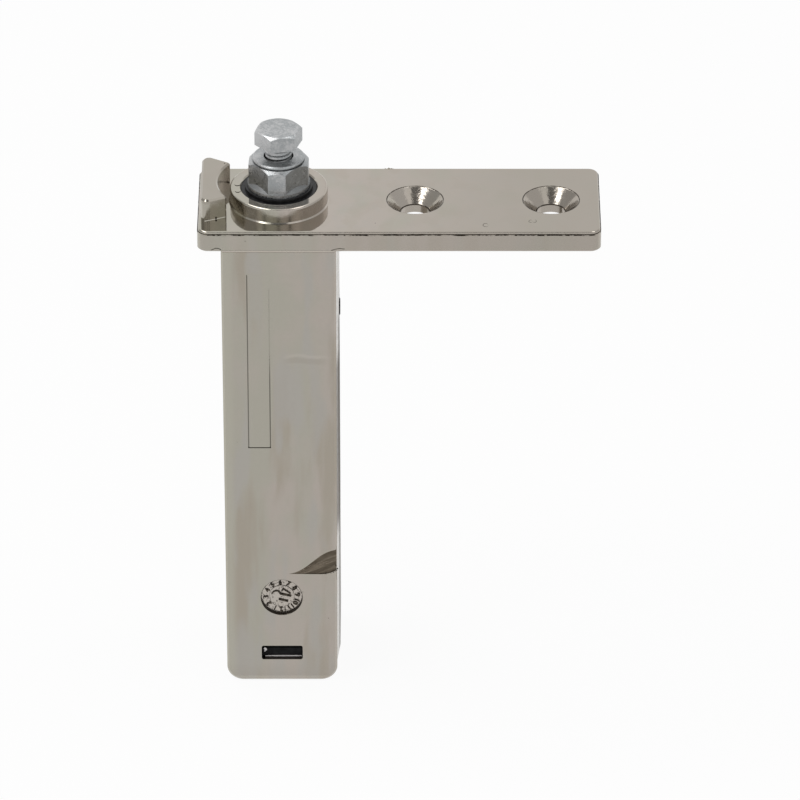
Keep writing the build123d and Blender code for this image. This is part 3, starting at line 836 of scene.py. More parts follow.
def raise_outline(shape, points, place, rise, sunk=0.05 * MM):
    """A flat outline made into a low relief: place maps its two coordinates and a height to the hinge."""
    low = [shape.verts.new(place(u, v, -sunk)) for u, v in points]
    high = [shape.verts.new(place(u, v, rise)) for u, v in points]
    count = len(points)
    for i in range(count):
        j = (i + 1) % count
        shape.faces.new((low[i], low[j], high[j], high[i]))
    shape.faces.new(low[::-1])
    shape.faces.new(high)


def flat_bar(centre, turn, long, wide):
    """The four corners of a bar in the plane."""
    along = Vector((math.cos(turn), math.sin(turn)))
    across = Vector((-along.y, along.x))
    corners = ((-1, -1), (1, -1), (1, 1), (-1, 1))
    return [tuple(Vector(centre) + along * (long / 2 * a) + across * (wide / 2 * b)) for a, b in corners]


def raise_strokes(shape, strokes, place, rise, overlap, sunk=0.05 * MM):
    """Raise bars along strokes, each given as its width and its corners in millimetres.

    Overlap is the share of the width by which the bars run on at their ends.
    """
    for wide, *corners in strokes:
        for first, second in zip(corners, corners[1:]):
            run = Vector(second) - Vector(first)
            middle = (Vector(first) + Vector(second)) / 2
            long = run.length + overlap * wide
            bar = flat_bar(middle * MM, math.atan2(run.y, run.x), long * MM, wide * MM)
            raise_outline(shape, bar, place, rise, sunk)


def text_shape(shape, text, height, rise, place):
    """Add a number as a low relief, with the built-in plain letters."""
    size_over_height = 1.42
    curve = bpy.data.curves.new("numeral", "FONT")
    curve.body = text
    curve.size = height * size_over_height
    curve.align_x = "CENTER"
    curve.align_y = "CENTER"
    curve.extrude = rise
    curve.resolution_u = 3
    holder = bpy.data.objects.new("numeral", curve)
    bpy.context.scene.collection.objects.link(holder)
    graph = bpy.context.evaluated_depsgraph_get()
    mesh = bpy.data.meshes.new_from_object(holder.evaluated_get(graph))
    mesh.transform(place)
    shape.from_mesh(mesh)
    bpy.data.meshes.remove(mesh)
    bpy.data.objects.remove(holder)
    bpy.data.curves.remove(curve)


def swell_along(step, steps, blunt):
    """Rises as a sine from a blunt end to 1 half-way, and falls again."""
    return math.sin(math.pi * (blunt + (1 - 2 * blunt) * step / steps))


def ragged_sliver(shape, first, last, out, tall, thick, draw):
    """A ragged sliver of metal between two points: it stands up and is so thick along out."""
    steps = 12
    sunk = UP * 0.1 * MM
    sections = []
    for step in range(steps + 1):
        base = Vector(first).lerp(Vector(last), step / steps)
        rise = tall * swell_along(step, steps, 0.06) * draw.uniform(0.35, 1.0)
        sections.append([base - out * thick / 2 - sunk, base + UP * rise, base + out * thick / 2 - sunk])
    skin_sections(shape, sections, closed=False)


def add_crumb(shape, place, radius, flat, draw):
    """A small uneven lump, flattened along Y."""
    lump = bmesh.ops.create_icosphere(shape, subdivisions=2, radius=radius)
    for vertex in lump["verts"]:
        vertex.co *= draw.uniform(0.8, 1.15)
        vertex.co.y *= flat
        vertex.co += Vector(place)


def dial_numbers(sizes, plane):
    """The twelve month numbers round the dial, their feet towards its centre."""
    months = 12
    reach = sizes.dial_radius - 0.95 * sizes.numeral_height
    shape = bmesh.new()
    for month in range(1, months + 1):
        turn = 2 * math.pi * month / months - sizes.dial_turn
        spot = Matrix.Translation((-math.sin(turn) * reach, -math.cos(turn) * reach, 0.0))
        facing = Matrix.Rotation(math.pi - turn, 4, "Z")
        text_shape(shape, str(month), sizes.numeral_height, sizes.numeral_rise, plane @ spot @ facing)
    return shape


def dial_arrow(sizes, plane):
    """The arrow in the dial's middle, with the bar beside it."""
    strokes = (
        (0.20, (-2.38, 0.6), (-1.95, 1.19), (-1.36, 1.47), (-0.68, 1.34)),
        (0.36, (-0.74, 1.4), (-0.3, 0.62), (0.76, 0.37), (2.2, -0.02)),
        (0.24, (0.02, 1.39), (0.34, 2.05), (2.08, 0.69)),
        (0.36, (-0.64, -0.94), (1.44, -1.5)),
    )

    def place(u, v, height):
        return plane @ Vector((u, v, height))

    shape = bmesh.new()
    raise_strokes(shape, strokes, place, sizes.numeral_rise, overlap=0.6)
    return shape


def dial_bead(plane, radius, profile):
    """A bead round the dial: its profile gives half its width and the heights of foot, crest and foot."""
    steps = 72
    sections = []
    for step in range(steps):
        turn = 2 * math.pi * step / steps
        out = Vector((math.cos(turn), math.sin(turn), 0.0))
        half, heights = profile(out)
        sections.append([plane @ (out * (radius + side * half) + UP * height)
                         for side, height in zip((-1, 0, 1), heights)])
    shape = bmesh.new()
    skin_sections(shape, sections, closed=True)
    return shape


def dial_circle(plane):
    """The thin circle inside the numbers, strongest at its top."""
    radius, sunk = 3.0 * MM, 0.02 * MM
    strongest = Vector((math.cos(math.radians(75.0)), math.sin(math.radians(75.0)), 0.0))

    def profile(out):
        half = (0.04 + 0.08 * max(0.0, out.dot(strongest))) * MM
        return half, (-sunk, half, -sunk)

    return dial_bead(plane, radius, profile)


def dial_rim(sizes, plane):
    """The uneven, slightly raised rim of the dial's recess."""
    face = sizes.dial_depth
    heights = (face - 0.1 * MM, face + 0.04 * MM, face - 0.03 * MM)

    def profile(out):
        half = (0.09 + 0.05 * noise.noise(out * 4.0)) * MM
        return half, heights

    return dial_bead(plane, sizes.dial_radius, profile)


def raise_crescent(shape, middle, radius, wide, begin, sweep):
    """A low crescent on a flat top, drawn out from front to back and widest half-way along its sweep."""
    steps = 24
    drawn_out = 1.2
    sunk = UP * 0.02 * MM
    sections = []
    for step in range(steps + 1):
        turn = math.radians(begin + sweep * step / steps)
        thick = (0.02 + wide * math.sin(math.pi * step / steps)) * MM
        out = Vector((math.cos(turn), math.sin(turn) * drawn_out, 0.0))
        sections.append([middle + out * (radius - thick) - sunk, middle + out * radius + UP * 0.7 * thick,
                         middle + out * (radius + thick) - sunk])
    skin_sections(shape, sections, closed=False)


class HINGE_OT_plated_casting(bpy.types.Operator):
    """Plate the casting: polished top, cloudy satin box, grime in its lines, a bare scrape, and painted
    shade and highlights in places
    """

    bl_idname = "hinge.plated_casting"
    bl_label = "Plated Casting"

    def execute(self, context):
        sizes = context.scene.hinge_sizes
        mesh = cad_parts["hinge_casting"].data.copy()
        run_out_swell(mesh, sizes)
        plating = plated_casting_finish(context.scene.hinge_colours, sizes)
        casting = place_piece("plated_body", mesh, plating, "door_side")
        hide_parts("hinge_casting")
        return {"FINISHED"}


class HINGE_OT_zinc_steel(bpy.types.Operator):
    """Zinc-plate the pivot shaft and its bolt"""

    bl_idname = "hinge.zinc_steel"
    bl_label = "Zinc Shaft and Bolt"

    def execute(self, context):
        colours = context.scene.hinge_colours
        dress("pivot_shaft", zinc_finish("shaft_zinc_finish", colours, 0.0))
        dress("clamp_bolt", zinc_finish("bolt_zinc_finish", colours, 0.02))
        return {"FINISHED"}


class HINGE_OT_black_pieces(bpy.types.Operator):
    """Blacken the bush, the end plug and the stop pin"""

    bl_idname = "hinge.black_pieces"
    bl_label = "Black Bush, Plug and Pin"

    def execute(self, context):
        colours = context.scene.hinge_colours
        dress("pivot_bush", black_plastic_finish("bush_plastic_finish", colours, 0.3))
        dress("end_plug", black_plastic_finish("plug_plastic_finish", colours, 0.08))
        dress("stop_pin", black_steel_finish(colours))
        return {"FINISHED"}


class HINGE_OT_inner_works(bpy.types.Operator):
    """Finish the cam pair, washers and cross pin inside the cartridge"""

    bl_idname = "hinge.inner_works"
    bl_label = "Inner Works"

    def execute(self, context):
        steel = sintered_finish(context.scene.hinge_colours)
        for node in ("thrust_washer", "drive_cam", "cam_pin", "cam_follower", "spring_seat"):
            dress(node, steel)
        return {"FINISHED"}


class HINGE_OT_closing_spring(bpy.types.Operator):
    """Finish the closing spring in spring steel, as a piece of its own in place of the frame's spring"""

    bl_idname = "hinge.closing_spring"
    bl_label = "Closing Spring"

    def execute(self, context):
        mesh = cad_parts["closing_spring"].data.copy()
        coil = place_piece("spring_coil", mesh, spring_finish(context.scene.hinge_colours), "door_side")
        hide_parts("closing_spring")
        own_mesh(coil)
        return {"FINISHED"}


class HINGE_OT_date_dial(bpy.types.Operator):
    """Raise the month numbers, the arrow, the inner circle and the rim of the date dial"""

    bl_idname = "hinge.date_dial"
    bl_label = "Date Dial"

    def execute(self, context):
        sizes = context.scene.hinge_sizes
        grimy = grimy_metal_finish("dial_sign_finish", context.scene.hinge_colours, 0.07)
        floor = sizes.dial_depth - sizes.box_front
        plane = Matrix.Translation((0.0, floor, -sizes.dial_drop)) @ Matrix.Rotation(math.pi / 2, 4, "X")
        add_mark("dial_numbers", dial_numbers(sizes, plane), grimy)
        add_mark("dial_arrow", dial_arrow(sizes, plane), grimy)
        add_mark("dial_circle", dial_circle(plane), grimy)
        add_mark("dial_rim", dial_rim(sizes, plane), grimy)
        return {"FINISHED"}


class HINGE_OT_bolt_thread(bpy.types.Operator):
    """Wind the thread that shows on the bolt's shank under its head"""

    bl_idname = "hinge.bolt_thread"
    bl_label = "Bolt Thread"

    def execute(self, context):
        sizes = context.scene.hinge_sizes
        per_turn = 40
        hidden, under_head, sunk = 1.2 * MM, 0.35 * MM, 0.02 * MM
        pitch = sizes.thread_pitch
        foot_half, crest_half = 0.46 * pitch, 0.07 * pitch
        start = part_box("pivot_shaft")[1].z - hidden
        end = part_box("clamp_bolt")[1].z - sizes.bolt_head - under_head
        root = sizes.shank_radius - sunk
        crest = sizes.shank_radius + sizes.thread_depth
        profile = ((root, -foot_half), (crest, -crest_half), (crest, crest_half), (root, foot_half))
        sections = []
        for step in range(int((end - start) / pitch * per_turn) + 1):
            turn = 2 * math.pi * step / per_turn
            level = start + pitch * step / per_turn
            sections.append([(radius * math.cos(turn), radius * math.sin(turn), level + rise)
                             for radius, rise in profile])
        shape = bmesh.new()
        skin_sections(shape, sections, closed=False)
        add_piece("bolt_thread", shape, bpy.data.materials["bolt_zinc_finish"], "shaft")
        return {"FINISHED"}


class HINGE_OT_parting_flash(bpy.types.Operator):
    """Run the ragged flash round the plate where the mould halves met"""

    bl_idname = "hinge.parting_flash"
    bl_label = "Parting Flash"

    def execute(self, context):
        sizes = context.scene.hinge_sizes
        spacing, waver = 0.35 * MM, 0.06 * MM
        root_depth, tip_depth = 0.45 * MM, 0.15 * MM
        least, most = 0.08, 1.0
        other_draw = Vector((0, 0, 7))
        sections = []
        for point, out in plate_route(sizes, spacing):
            spot = Vector((point.x, point.y, 0.0)) / MM
            ragged = 0.5 + 0.5 * noise.noise(spot * 1.1) + 0.45 * noise.noise(spot * 3.7)
            reach = sizes.flash_width * max(least, min(most, ragged))
            level = -sizes.parting_drop + waver * noise.noise(spot * 0.6 + other_draw)
            half = sizes.flash_height / 2 * (0.6 + 0.4 * ragged)
            root = point - out * root_depth
            tip = point + out * (reach - tip_depth)
            sections.append([(root.x, root.y, level - half), (tip.x, tip.y, level - 0.4 * half),
                             (tip.x, tip.y, level + 0.2 * half), (root.x, root.y, level + half)])
        shape = bmesh.new()
        skin_sections(shape, sections, closed=True)
        grimy = grimy_metal_finish("flash_finish", context.scene.hinge_colours, 0.1)
        add_mark("parting_flash", shape, grimy)
        return {"FINISHED"}


class HINGE_OT_rounded_edges(bpy.types.Operator):
    """Round over the upper edges of the plate and the collar ring"""

    bl_idname = "hinge.rounded_edges"
    bl_label = "Rounded Edges"

    def execute(self, context):
        sizes = context.scene.hinge_sizes
        plating = bpy.data.materials["plated_casting_finish"]
        spacing, ring_steps, plate_top = 3.0 * MM, 128, 0.0
        outline = [(point - out * sizes.parting_ledge, out) for point, out in plate_route(sizes, spacing)]
        plate = bmesh.new()
        round_edge(plate, outline, plate_top, sizes.edge_round)
        add_mark("plate_edge", plate, plating, smooth=True)
        ring = bmesh.new()
        round_edge(ring, ring_route(sizes.ring_radius, ring_steps), sizes.ring_top, sizes.edge_round)
        add_mark("ring_edge", ring, plating, smooth=True)
        return {"FINISHED"}


class HINGE_OT_punch_marks(bpy.types.Operator):
    """Raise two crescent punch marks on the collar ring and three worn rings on the plate"""

    bl_idname = "hinge.punch_marks"
    bl_label = "Punch Marks"

    def execute(self, context):
        sizes = context.scene.hinge_sizes
        plate_top, ring_top, punch = 0.0, sizes.ring_top, sizes.punch_radius
        marks = (
            ((-9.75, 0.8), ring_top, punch, 0.16, 190.0, 160.0),
            ((-9.6, -2.35), ring_top, punch, 0.16, 190.0, 160.0),
            ((48.5, -12.0), plate_top, 0.9 * punch, 0.06, 20.0, 320.0),
            ((59.1, -10.2), plate_top, 0.7 * punch, 0.05, 60.0, 240.0),
            ((59.9, -10.1), plate_top, 0.7 * punch, 0.05, 200.0, 240.0),
        )
        shape = bmesh.new()
        for (x, y), level, radius, wide, begin, sweep in marks:
            raise_crescent(shape, Vector((x * MM, y * MM, level)), radius, wide, begin, sweep)
        grimy = grimy_metal_finish("grimy_metal_finish", context.scene.hinge_colours, 0.0)
        add_mark("punch_marks", shape, grimy)
        return {"FINISHED"}


class HINGE_OT_scrape_burr(bpy.types.Operator):
    """Drag ridges along the scrape's floor"""

    bl_idname = "hinge.scrape_burr"
    bl_label = "Scrape Ridges"

    def execute(self, context):
        sizes = context.scene.hinge_sizes
        upper = ((0.0, 0.0), (4.0, 1.7), (7.4, 4.7), (11.9, 6.5))
        lower = ((0.0, 0.0), (4.0, -0.1), (7.9, -0.1), (11.9, 1.4))

        def edge(points, x):
            for (x0, z0), (x1, z1) in zip(points, points[1:]):
                if x <= x1:
                    return z0 + (z1 - z0) * (x - x0) / (x1 - x0)
            return points[-1][1]

        def on_floor(x, between, rise):
            z = edge(lower, x) + (edge(upper, x) - edge(lower, x)) * between
            depth = sizes.scrape_depth + x * MM * math.tan(sizes.scrape_tilt)
            back = depth - rise - sizes.box_front
            return Vector((sizes.scrape_tip + x * MM, back, z * MM - sizes.scrape_drop))

        draw = random.Random(11)
        ridges, steps = 16, 10
        sunk, farthest = 0.02 * MM, 11.8
        shape = bmesh.new()
        for ridge in range(ridges):
            between = 0.1 + 0.8 * (ridge + 0.5 + draw.uniform(-0.4, 0.4)) / ridges
            begin = draw.uniform(2.4, 7.5)
            end = min(farthest, begin + draw.uniform(2.0, 5.5))
            tall = draw.uniform(0.03, 0.08) * MM
            wide = draw.uniform(0.05, 0.1) * MM
            sections = []
            for step in range(steps + 1):
                x = begin + (end - begin) * step / steps
                swell = swell_along(step, steps, 0.08)
                foot = on_floor(x, between, -sunk)
                across = UP * wide * swell
                sections.append([foot - across, on_floor(x, between, tall * swell), foot + across])
            skin_sections(shape, sections, closed=False)
        add_mark("scrape_ridges", shape, bpy.data.materials["plated_casting_finish"])
        return {"FINISHED"}


class HINGE_OT_scrape_crumbs(bpy.types.Operator):
    """Leave a row of dark crumbs along the scrape's lower right rim"""

    bl_idname = "hinge.scrape_crumbs"
    bl_label = "Scrape Crumbs"

    def execute(self, context):
        sizes = context.scene.hinge_sizes
        row = ((9.2, 0.0), (9.8, 0.05), (10.4, 0.2), (11.0, 0.45),
               (11.35, 0.7), (11.7, 1.0), (11.95, 1.45), (11.6, 2.3))
        sunk, flat = 0.1 * MM, 0.8
        draw = random.Random(5)
        shape = bmesh.new()
        for x, z in row:
            place = (sizes.scrape_tip + x * MM, sunk - sizes.box_front, z * MM - sizes.scrape_drop)
            add_crumb(shape, place, draw.uniform(0.13, 0.2) * MM, flat, draw)
        add_mark("scrape_crumbs", shape, bpy.data.materials["grimy_metal_finish"])
        return {"FINISHED"}


class HINGE_OT_tongue_wear(bpy.types.Operator):
    """Paint a pale highlight along the lower edge of the plug's tongue and a white glint on small lumps at
    its left
    """

    bl_idname = "hinge.tongue_wear"
    bl_label = "Tongue Wear"

    def execute(self, context):
        sizes = context.scene.hinge_sizes
        colours = context.scene.hinge_colours
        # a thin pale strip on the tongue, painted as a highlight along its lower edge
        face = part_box("end_plug")[0].y
        steps = 40
        sunk, rise_low, rise_high = 0.3 * MM, 0.02 * MM, 0.04 * MM
        reach, shift = 0.935 * sizes.tongue_half, 0.25 * MM
        level = -sizes.wear_drop
        sections = []
        for step in range(steps + 1):
            x = reach * (2 * step / steps - 1) + shift
            blunt = swell_along(step, steps, 0.04) ** 0.15
            half = sizes.wear_height / 2 * blunt * (0.95 + 0.1 * noise.noise(Vector((x / MM, 3.0, 0.0))))
            sections.append([(x, face + sunk, level - half), (x, face - rise_low, level - 0.9 * half),
                             (x, face - rise_high, level + 0.7 * half), (x, face + sunk, level + half)])
        shape = bmesh.new()
        skin_sections(shape, sections, closed=False)
        add_piece("tongue_wear", shape, rubbed_plastic_finish(colours), "door_side")

        # small lumps at the tongue's left, painted white as a glint
        lumps = ((-4.18, -116.75, 0.3), (-4.02, -117.05, 0.33), (-4.22, -117.5, 0.16))
        flat = 0.35
        draw = random.Random(3)
        chip = bmesh.new()
        for x, z, radius in lumps:
            add_crumb(chip, (x * MM, face, z * MM), radius * MM, flat, draw)
        add_piece("tongue_painted_glint", chip, chip_finish(colours), "door_side")
        return {"FINISHED"}


class HINGE_OT_edge_flash(bpy.types.Operator):
    """Leave slivers on the plate's edge, a bead at the lug's foot, burrs on the lug and smears below"""

    bl_idname = "hinge.edge_flash"
    bl_label = "Edge Flash and Burrs"

    def execute(self, context):
        low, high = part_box("hinge_casting")
        draw = random.Random(8)
        shape = bmesh.new()
        sunk, inset, thick = 0.2 * MM, 0.5 * MM, 0.3 * MM
        for first, last, tall in ((24.1, 27.5, 0.3), (-14.9, -11.8, 0.2)):
            ends = [(x * MM, high.y - inset, -sunk) for x in (first, last)]
            ragged_sliver(shape, *ends, BACK, tall * MM + sunk, thick, draw)
        half, tall, bead_sunk = 0.17 * MM, 0.17 * MM, UP * 0.05 * MM
        out = Vector((0.4, -0.92, 0.0)) * half
        lug_foot = (Vector((-17.3, -10.31, 0.0)) * MM, Vector((-12.5, -8.23, 0.0)) * MM)
        crest = UP * tall - out * 0.2
        sections = [[end - out - bead_sunk, end + crest, end + out - bead_sunk] for end in lug_foot]
        skin_sections(shape, sections, closed=False)
        add_mark("edge_flash", shape, bpy.data.materials["plated_casting_finish"])

        burrs = bmesh.new()
        burr_ends = ((-11.4 * MM, 7.95 * MM, 0.0), (-10.7 * MM, 7.5 * MM, 0.0))
        ragged_sliver(burrs, *burr_ends, BACK, 0.45 * MM, 0.5 * MM, draw)
        flat = 0.7
        for x, y, z, radius in ((-14.6, -9.2, 0.35, 0.26), (-12.9, 7.9, 5.3, 0.2)):
            add_crumb(burrs, (x * MM, y * MM, z * MM), radius * MM, flat, draw)
        smears = (
            (0.16, (-15.7, -4.75), (-15.1, -4.45), (-14.6, -4.22), (-13.9, -4.32), (-13.4, -4.7)),
            (0.14, (12.4, -4.85), (13.3, -4.5), (14.3, -4.32), (15.5, -4.45)),
        )

        def on_edge(x, z, rise):
            return Vector((x, low.y - rise, z))

        raise_strokes(burrs, smears, on_edge, rise=0.03 * MM, overlap=0.3, sunk=0.3 * MM)
        add_mark("lug_burrs", burrs, bpy.data.materials["grimy_metal_finish"])
        return {"FINISHED"}


class HINGE_OT_foot_bead(bpy.types.Operator):
    """Lay the bead along the cartridge's upper end, under the plate's front edge, painted bright as a
    highlight
    """

    bl_idname = "hinge.foot_bead"
    bl_label = "Bead under the Plate"

    def execute(self, context):
        sizes = context.scene.hinge_sizes
        reach = sizes.box_side - 0.3 * MM
        front = -sizes.box_front
        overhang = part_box("hinge_casting")[0].y - front
        section = ((0.1 * MM, 0.2 * MM), (overhang, 0.25 * MM), (overhang, -0.05 * MM),
                   (-0.25 * MM, -0.35 * MM), (0.05 * MM, -0.5 * MM))
        bead = bmesh.new()
        skin_sections(bead, [[Vector((x, front + y, z - sizes.plate_thick)) for y, z in section]
                             for x in (-reach, reach)], closed=False)
        add_mark("foot_bead", bead, bright_bead_finish(context.scene.hinge_colours))
        return {"FINISHED"}


class HINGE_OT_witness_fill(bpy.types.Operator):
    """Fill the insert's outline along its top and down the upper end of its right side"""

    bl_idname = "hinge.witness_fill"
    bl_label = "Witness Fill"

    def execute(self, context):
        sizes = context.scene.hinge_sizes
        rise, sunk = 0.004 * MM, 0.1 * MM
        left, right, top = -sizes.insert_left, -sizes.insert_right, -sizes.insert_top
        line = sizes.witness_width
        right_end = -15.5 * MM

        def on_front(x, z, height):
            return Vector((x, -sizes.box_front - height, z))

        fill = bmesh.new()
        under = top - line
        for x0, x1, z0, z1 in ((left, right, under, top), (right - line, right, right_end, under)):
            raise_outline(fill, ((x0, z0), (x1, z0), (x1, z1), (x0, z1)), on_front, rise, sunk)
        add_mark("witness_fill", fill, bpy.data.materials["plated_casting_finish"])
        return {"FINISHED"}


class HINGE_OT_studio(bpy.types.Operator):
    """Set the floor, the lamps, the cards that metal reflects, and the camera"""

    bl_idname = "hinge.studio"
    bl_label = "Studio"

    def execute(self, context):
        scene = context.scene
        studio = scene.hinge_studio
        scene.view_settings.view_transform = "Standard"
        light_world(scene, studio)
        lay_floor(studio)
        away = 1.15
        hang_lamp("key_lamp", (-0.39, -0.02, 0.92), away, wide=0.4, long=1.0, power=studio.key_power)
        hang_lamp("fill_lamp", (0.36, 0.05, 0.93), away, wide=0.3, long=0.35, power=studio.fill_power)
        set_cards()
        set_camera(scene, studio)
        return {"FINISHED"}


def seen_directly(tree):
    """1 for rays from the camera and for those that metal or glass sends on."""
    path = tree.nodes.new("ShaderNodeLightPath")
    total = path.outputs["Is Camera Ray"]
    for name in ("Is Glossy Ray", "Is Transmission Ray"):
        either = tree.nodes.new("ShaderNodeMath")
        either.operation = "MAXIMUM"
        tree.links.new(total, either.inputs[0])
        tree.links.new(path.outputs[name], either.inputs[1])
        total = either.outputs[0]
    return total


def light_world(scene, studio):
    """A white studio all round, dimmer as a light than as a background."""
    world = bpy.data.worlds.new("studio_white")
    world.use_nodes = True
    tree = world.node_tree
    background = tree.nodes["Background"]
    background.inputs["Color"].default_value = (1.0, 1.0, 1.0, 1.0)
    level = tree.nodes.new("ShaderNodeMapRange")
    tree.links.new(seen_directly(tree), level.inputs["Value"])
    level.inputs["To Min"].default_value = studio.ambient
    level.inputs["To Max"].default_value = 1.0
    tree.links.new(level.outputs[0], background.inputs["Strength"])
    scene.world = world


def flat_mesh(name, corners, material):
    """A flat quad that belongs to the studio."""
    mesh = bpy.data.meshes.new(name)
    mesh.from_pydata([tuple(c) for c in corners], [], [(0, 1, 2, 3)])
    mesh.materials.append(material)
    thing = bpy.data.objects.new(name, mesh)
    bpy.context.scene.collection.objects.link(thing)
    return thing


def level_corners(first, last, level):
    """The corners of a level rectangle between two opposite ones."""
    (x0, y0), (x1, y1) = first, last
    return (x0, y0, level), (x1, y0, level), (x1, y1, level), (x0, y1, level)


def lay_floor(studio):
    """A pale floor that shows white and keeps a soft shadow."""
    material = bpy.data.materials.new("pale_floor")
    material.use_nodes = True
    tree = material.node_tree
    tree.nodes.remove(tree.nodes["Principled BSDF"])
    matt = tree.nodes.new("ShaderNodeBsdfDiffuse")
    matt.inputs["Color"].default_value = (0.9, 0.9, 0.9, 1.0)
    glow = tree.nodes.new("ShaderNodeEmission")
    blend = tree.nodes.new("ShaderNodeMixShader")
    amount = tree.nodes.new("ShaderNodeMath")
    amount.operation = "MULTIPLY"
    tree.links.new(seen_directly(tree), amount.inputs[0])
    amount.inputs[1].default_value = studio.floor_white
    tree.links.new(amount.outputs[0], blend.inputs["Fac"])
    tree.links.new(matt.outputs[0], blend.inputs[1])
    tree.links.new(glow.outputs[0], blend.inputs[2])
    tree.links.new(blend.outputs[0], tree.nodes["Material Output"].inputs["Surface"])
    half = 8.0
    flat_mesh("floor", level_corners((-half, -half), (half, half), cad_low.z), material)


def hang_lamp(name, direction, distance, wide, long, power):
    """A soft rectangular lamp that looks at the pivot, its long side from front to back."""
    lamp = bpy.data.lights.new(name, "AREA")
    lamp.shape = "RECTANGLE"
    lamp.size = wide
    lamp.size_y = long
    lamp.energy = power
    holder = bpy.data.objects.new(name, lamp)
    towards = Vector(direction).normalized()
    across = BACK.cross(towards).normalized()
    along = towards.cross(across)
    holder.location = towards * distance
    holder.rotation_euler = Matrix((across, along, towards)).transposed().to_euler()
    bpy.context.scene.collection.objects.link(holder)


def card_finish(name, level):
    """A plain grey card that only shows as a reflection."""
    material = bpy.data.materials.new(name)
    material.use_nodes = True
    tree = material.node_tree
    tree.nodes.remove(tree.nodes["Principled BSDF"])
    glow = tree.nodes.new("ShaderNodeEmission")
    glow.inputs["Strength"].default_value = level
    tree.links.new(glow.outputs[0], tree.nodes["Material Output"].inputs["Surface"])
    return material


def only_reflected(card):
    """Hide a card from everything but reflections."""
    card.visible_camera = False
    card.visible_diffuse = False
    card.visible_shadow = False
    card.visible_transmission = False


def lay_card(name, material, first, last):
    """A card that lies on the floor between two corners."""
    level = cad_low.z + 1.0 * MM
    only_reflected(flat_mesh(name, level_corners(first, last, level), material))


def stand_card(name, material, azimuth, elevation, distance, wide, tall):
    """A card that stands round the pivot: azimuth 0 is the camera's side, 90 the plate's long end."""
    round_by = math.radians(azimuth)
    raised_by = math.radians(elevation)
    right = Vector((math.cos(round_by), math.sin(round_by), 0.0))
    level = Vector((math.sin(round_by), -math.cos(round_by), 0.0))
    out = level * math.cos(raised_by) + UP * math.sin(raised_by)
    up = out.cross(right)
    corners = [out * distance + right * (wide / 2 * i) + up * (tall / 2 * j)
               for i, j in ((-1, -1), (1, -1), (1, 1), (-1, 1))]
    only_reflected(flat_mesh(name, corners, material))


def set_cards():
    """Bright and dark cards round the hinge, for its metal to mirror."""
    grey = {"front": 0.86, "left": 0.52, "right": 0.72, "dark": 0.22}
    cards = {tone: card_finish("card_" + tone, level) for tone, level in grey.items()}
    lay_card("front_floor_card", cards["front"], (-0.5, -0.75), (0.5, -0.0155))
    stand_card("front_wall_card", cards["front"], azimuth=0, elevation=18, distance=1.6, wide=2.6, tall=1.0)
    for side, azimuth in (("left", -90), ("right", 90)):
        stand_card(f"{side}_wall_card", cards[side], azimuth, elevation=27, distance=1.5,
                   wide=2.0, tall=1.5)
    stand_card("overhead_flag", cards["dark"], azimuth=0, elevation=59, distance=1.2, wide=0.6, tall=0.34)
    for number, azimuth in enumerate((-34, -1, 26)):
        stand_card(f"camera_flag_{number}", cards["dark"], azimuth, elevation=31, distance=1.3,
                   wide=0.12, tall=0.5)


def set_camera(scene, studio):
    """A level camera at the front that looks down on the hinge."""
    camera = bpy.data.objects.new("camera", bpy.data.cameras.new("camera"))
    camera.data.lens = studio.camera_lens
    camera.data.sensor_width = 36.0
    camera.location = studio.camera_place
    camera.rotation_euler = (math.pi / 2 - studio.camera_drop, 0.0, 0.0)
    scene.collection.objects.link(camera)
    scene.camera = camera


class HINGE_PT_finish(bpy.types.Panel):
    """Lists the steps that finish the hinge"""

    bl_idname = "HINGE_PT_finish"
    bl_label = "Door Hinge"
    bl_space_type = "VIEW_3D"
    bl_region_type = "UI"
    bl_category = "Hinge"

    def draw(self, context):
        for step in STEPS:
            self.layout.operator(step.bl_idname)


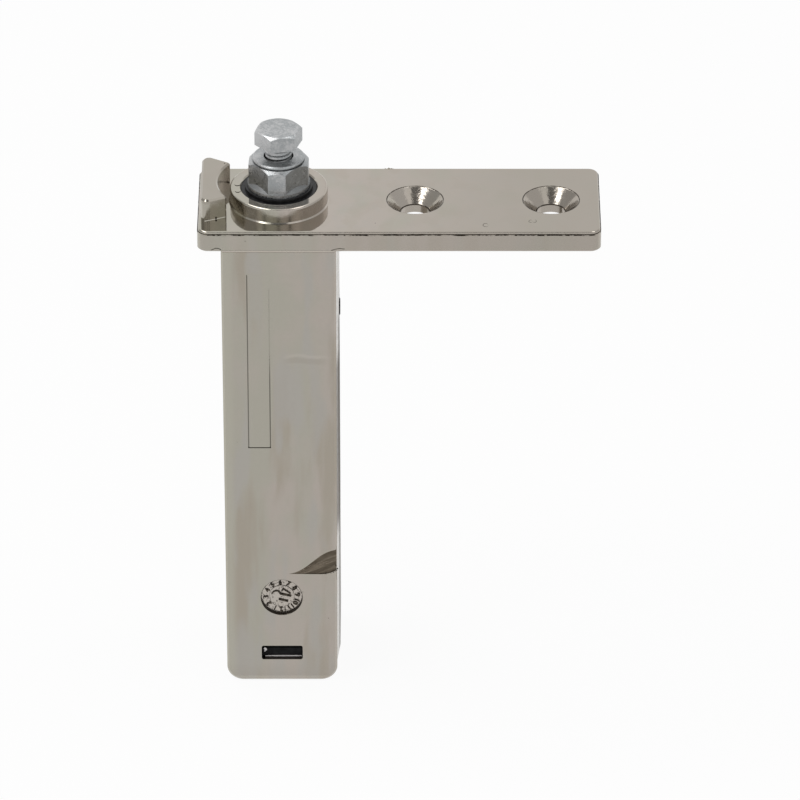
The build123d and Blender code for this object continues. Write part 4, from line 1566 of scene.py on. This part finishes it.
GROUPS = (HingeSizes, HingeColours, StudioSettings)
STEPS = (
    HINGE_OT_plated_casting,
    HINGE_OT_zinc_steel,
    HINGE_OT_black_pieces,
    HINGE_OT_inner_works,
    HINGE_OT_closing_spring,
    HINGE_OT_date_dial,
    HINGE_OT_bolt_thread,
    HINGE_OT_parting_flash,
    HINGE_OT_rounded_edges,
    HINGE_OT_punch_marks,
    HINGE_OT_scrape_burr,
    HINGE_OT_scrape_crumbs,
    HINGE_OT_tongue_wear,
    HINGE_OT_edge_flash,
    HINGE_OT_foot_bead,
    HINGE_OT_witness_fill,
    HINGE_OT_studio,
)


def register():
    """Add the hinge's properties, operators and panel to Blender."""
    for part in (*GROUPS, *STEPS, HINGE_PT_finish):
        bpy.utils.register_class(part)
    bpy.types.Scene.hinge_sizes = PointerProperty(type=HingeSizes)
    bpy.types.Scene.hinge_colours = PointerProperty(type=HingeColours)
    bpy.types.Scene.hinge_studio = PointerProperty(type=StudioSettings)


def unregister():
    """Take the hinge's properties, operators and panel out of Blender again."""
    del bpy.types.Scene.hinge_studio
    del bpy.types.Scene.hinge_colours
    del bpy.types.Scene.hinge_sizes
    for part in reversed((*GROUPS, *STEPS, HINGE_PT_finish)):
        bpy.utils.unregister_class(part)


def main():
    """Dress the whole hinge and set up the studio."""
    register()
    bpy.ops.hinge.plated_casting()
    bpy.ops.hinge.zinc_steel()
    bpy.ops.hinge.black_pieces()
    bpy.ops.hinge.inner_works()
    bpy.ops.hinge.closing_spring()
    bpy.ops.hinge.date_dial()
    bpy.ops.hinge.bolt_thread()
    bpy.ops.hinge.parting_flash()
    bpy.ops.hinge.rounded_edges()
    bpy.ops.hinge.punch_marks()
    bpy.ops.hinge.scrape_burr()
    bpy.ops.hinge.scrape_crumbs()
    bpy.ops.hinge.tongue_wear()
    bpy.ops.hinge.edge_flash()
    bpy.ops.hinge.foot_bead()
    bpy.ops.hinge.witness_fill()
    bpy.ops.hinge.studio()


if __name__ == "__main__":
    main()
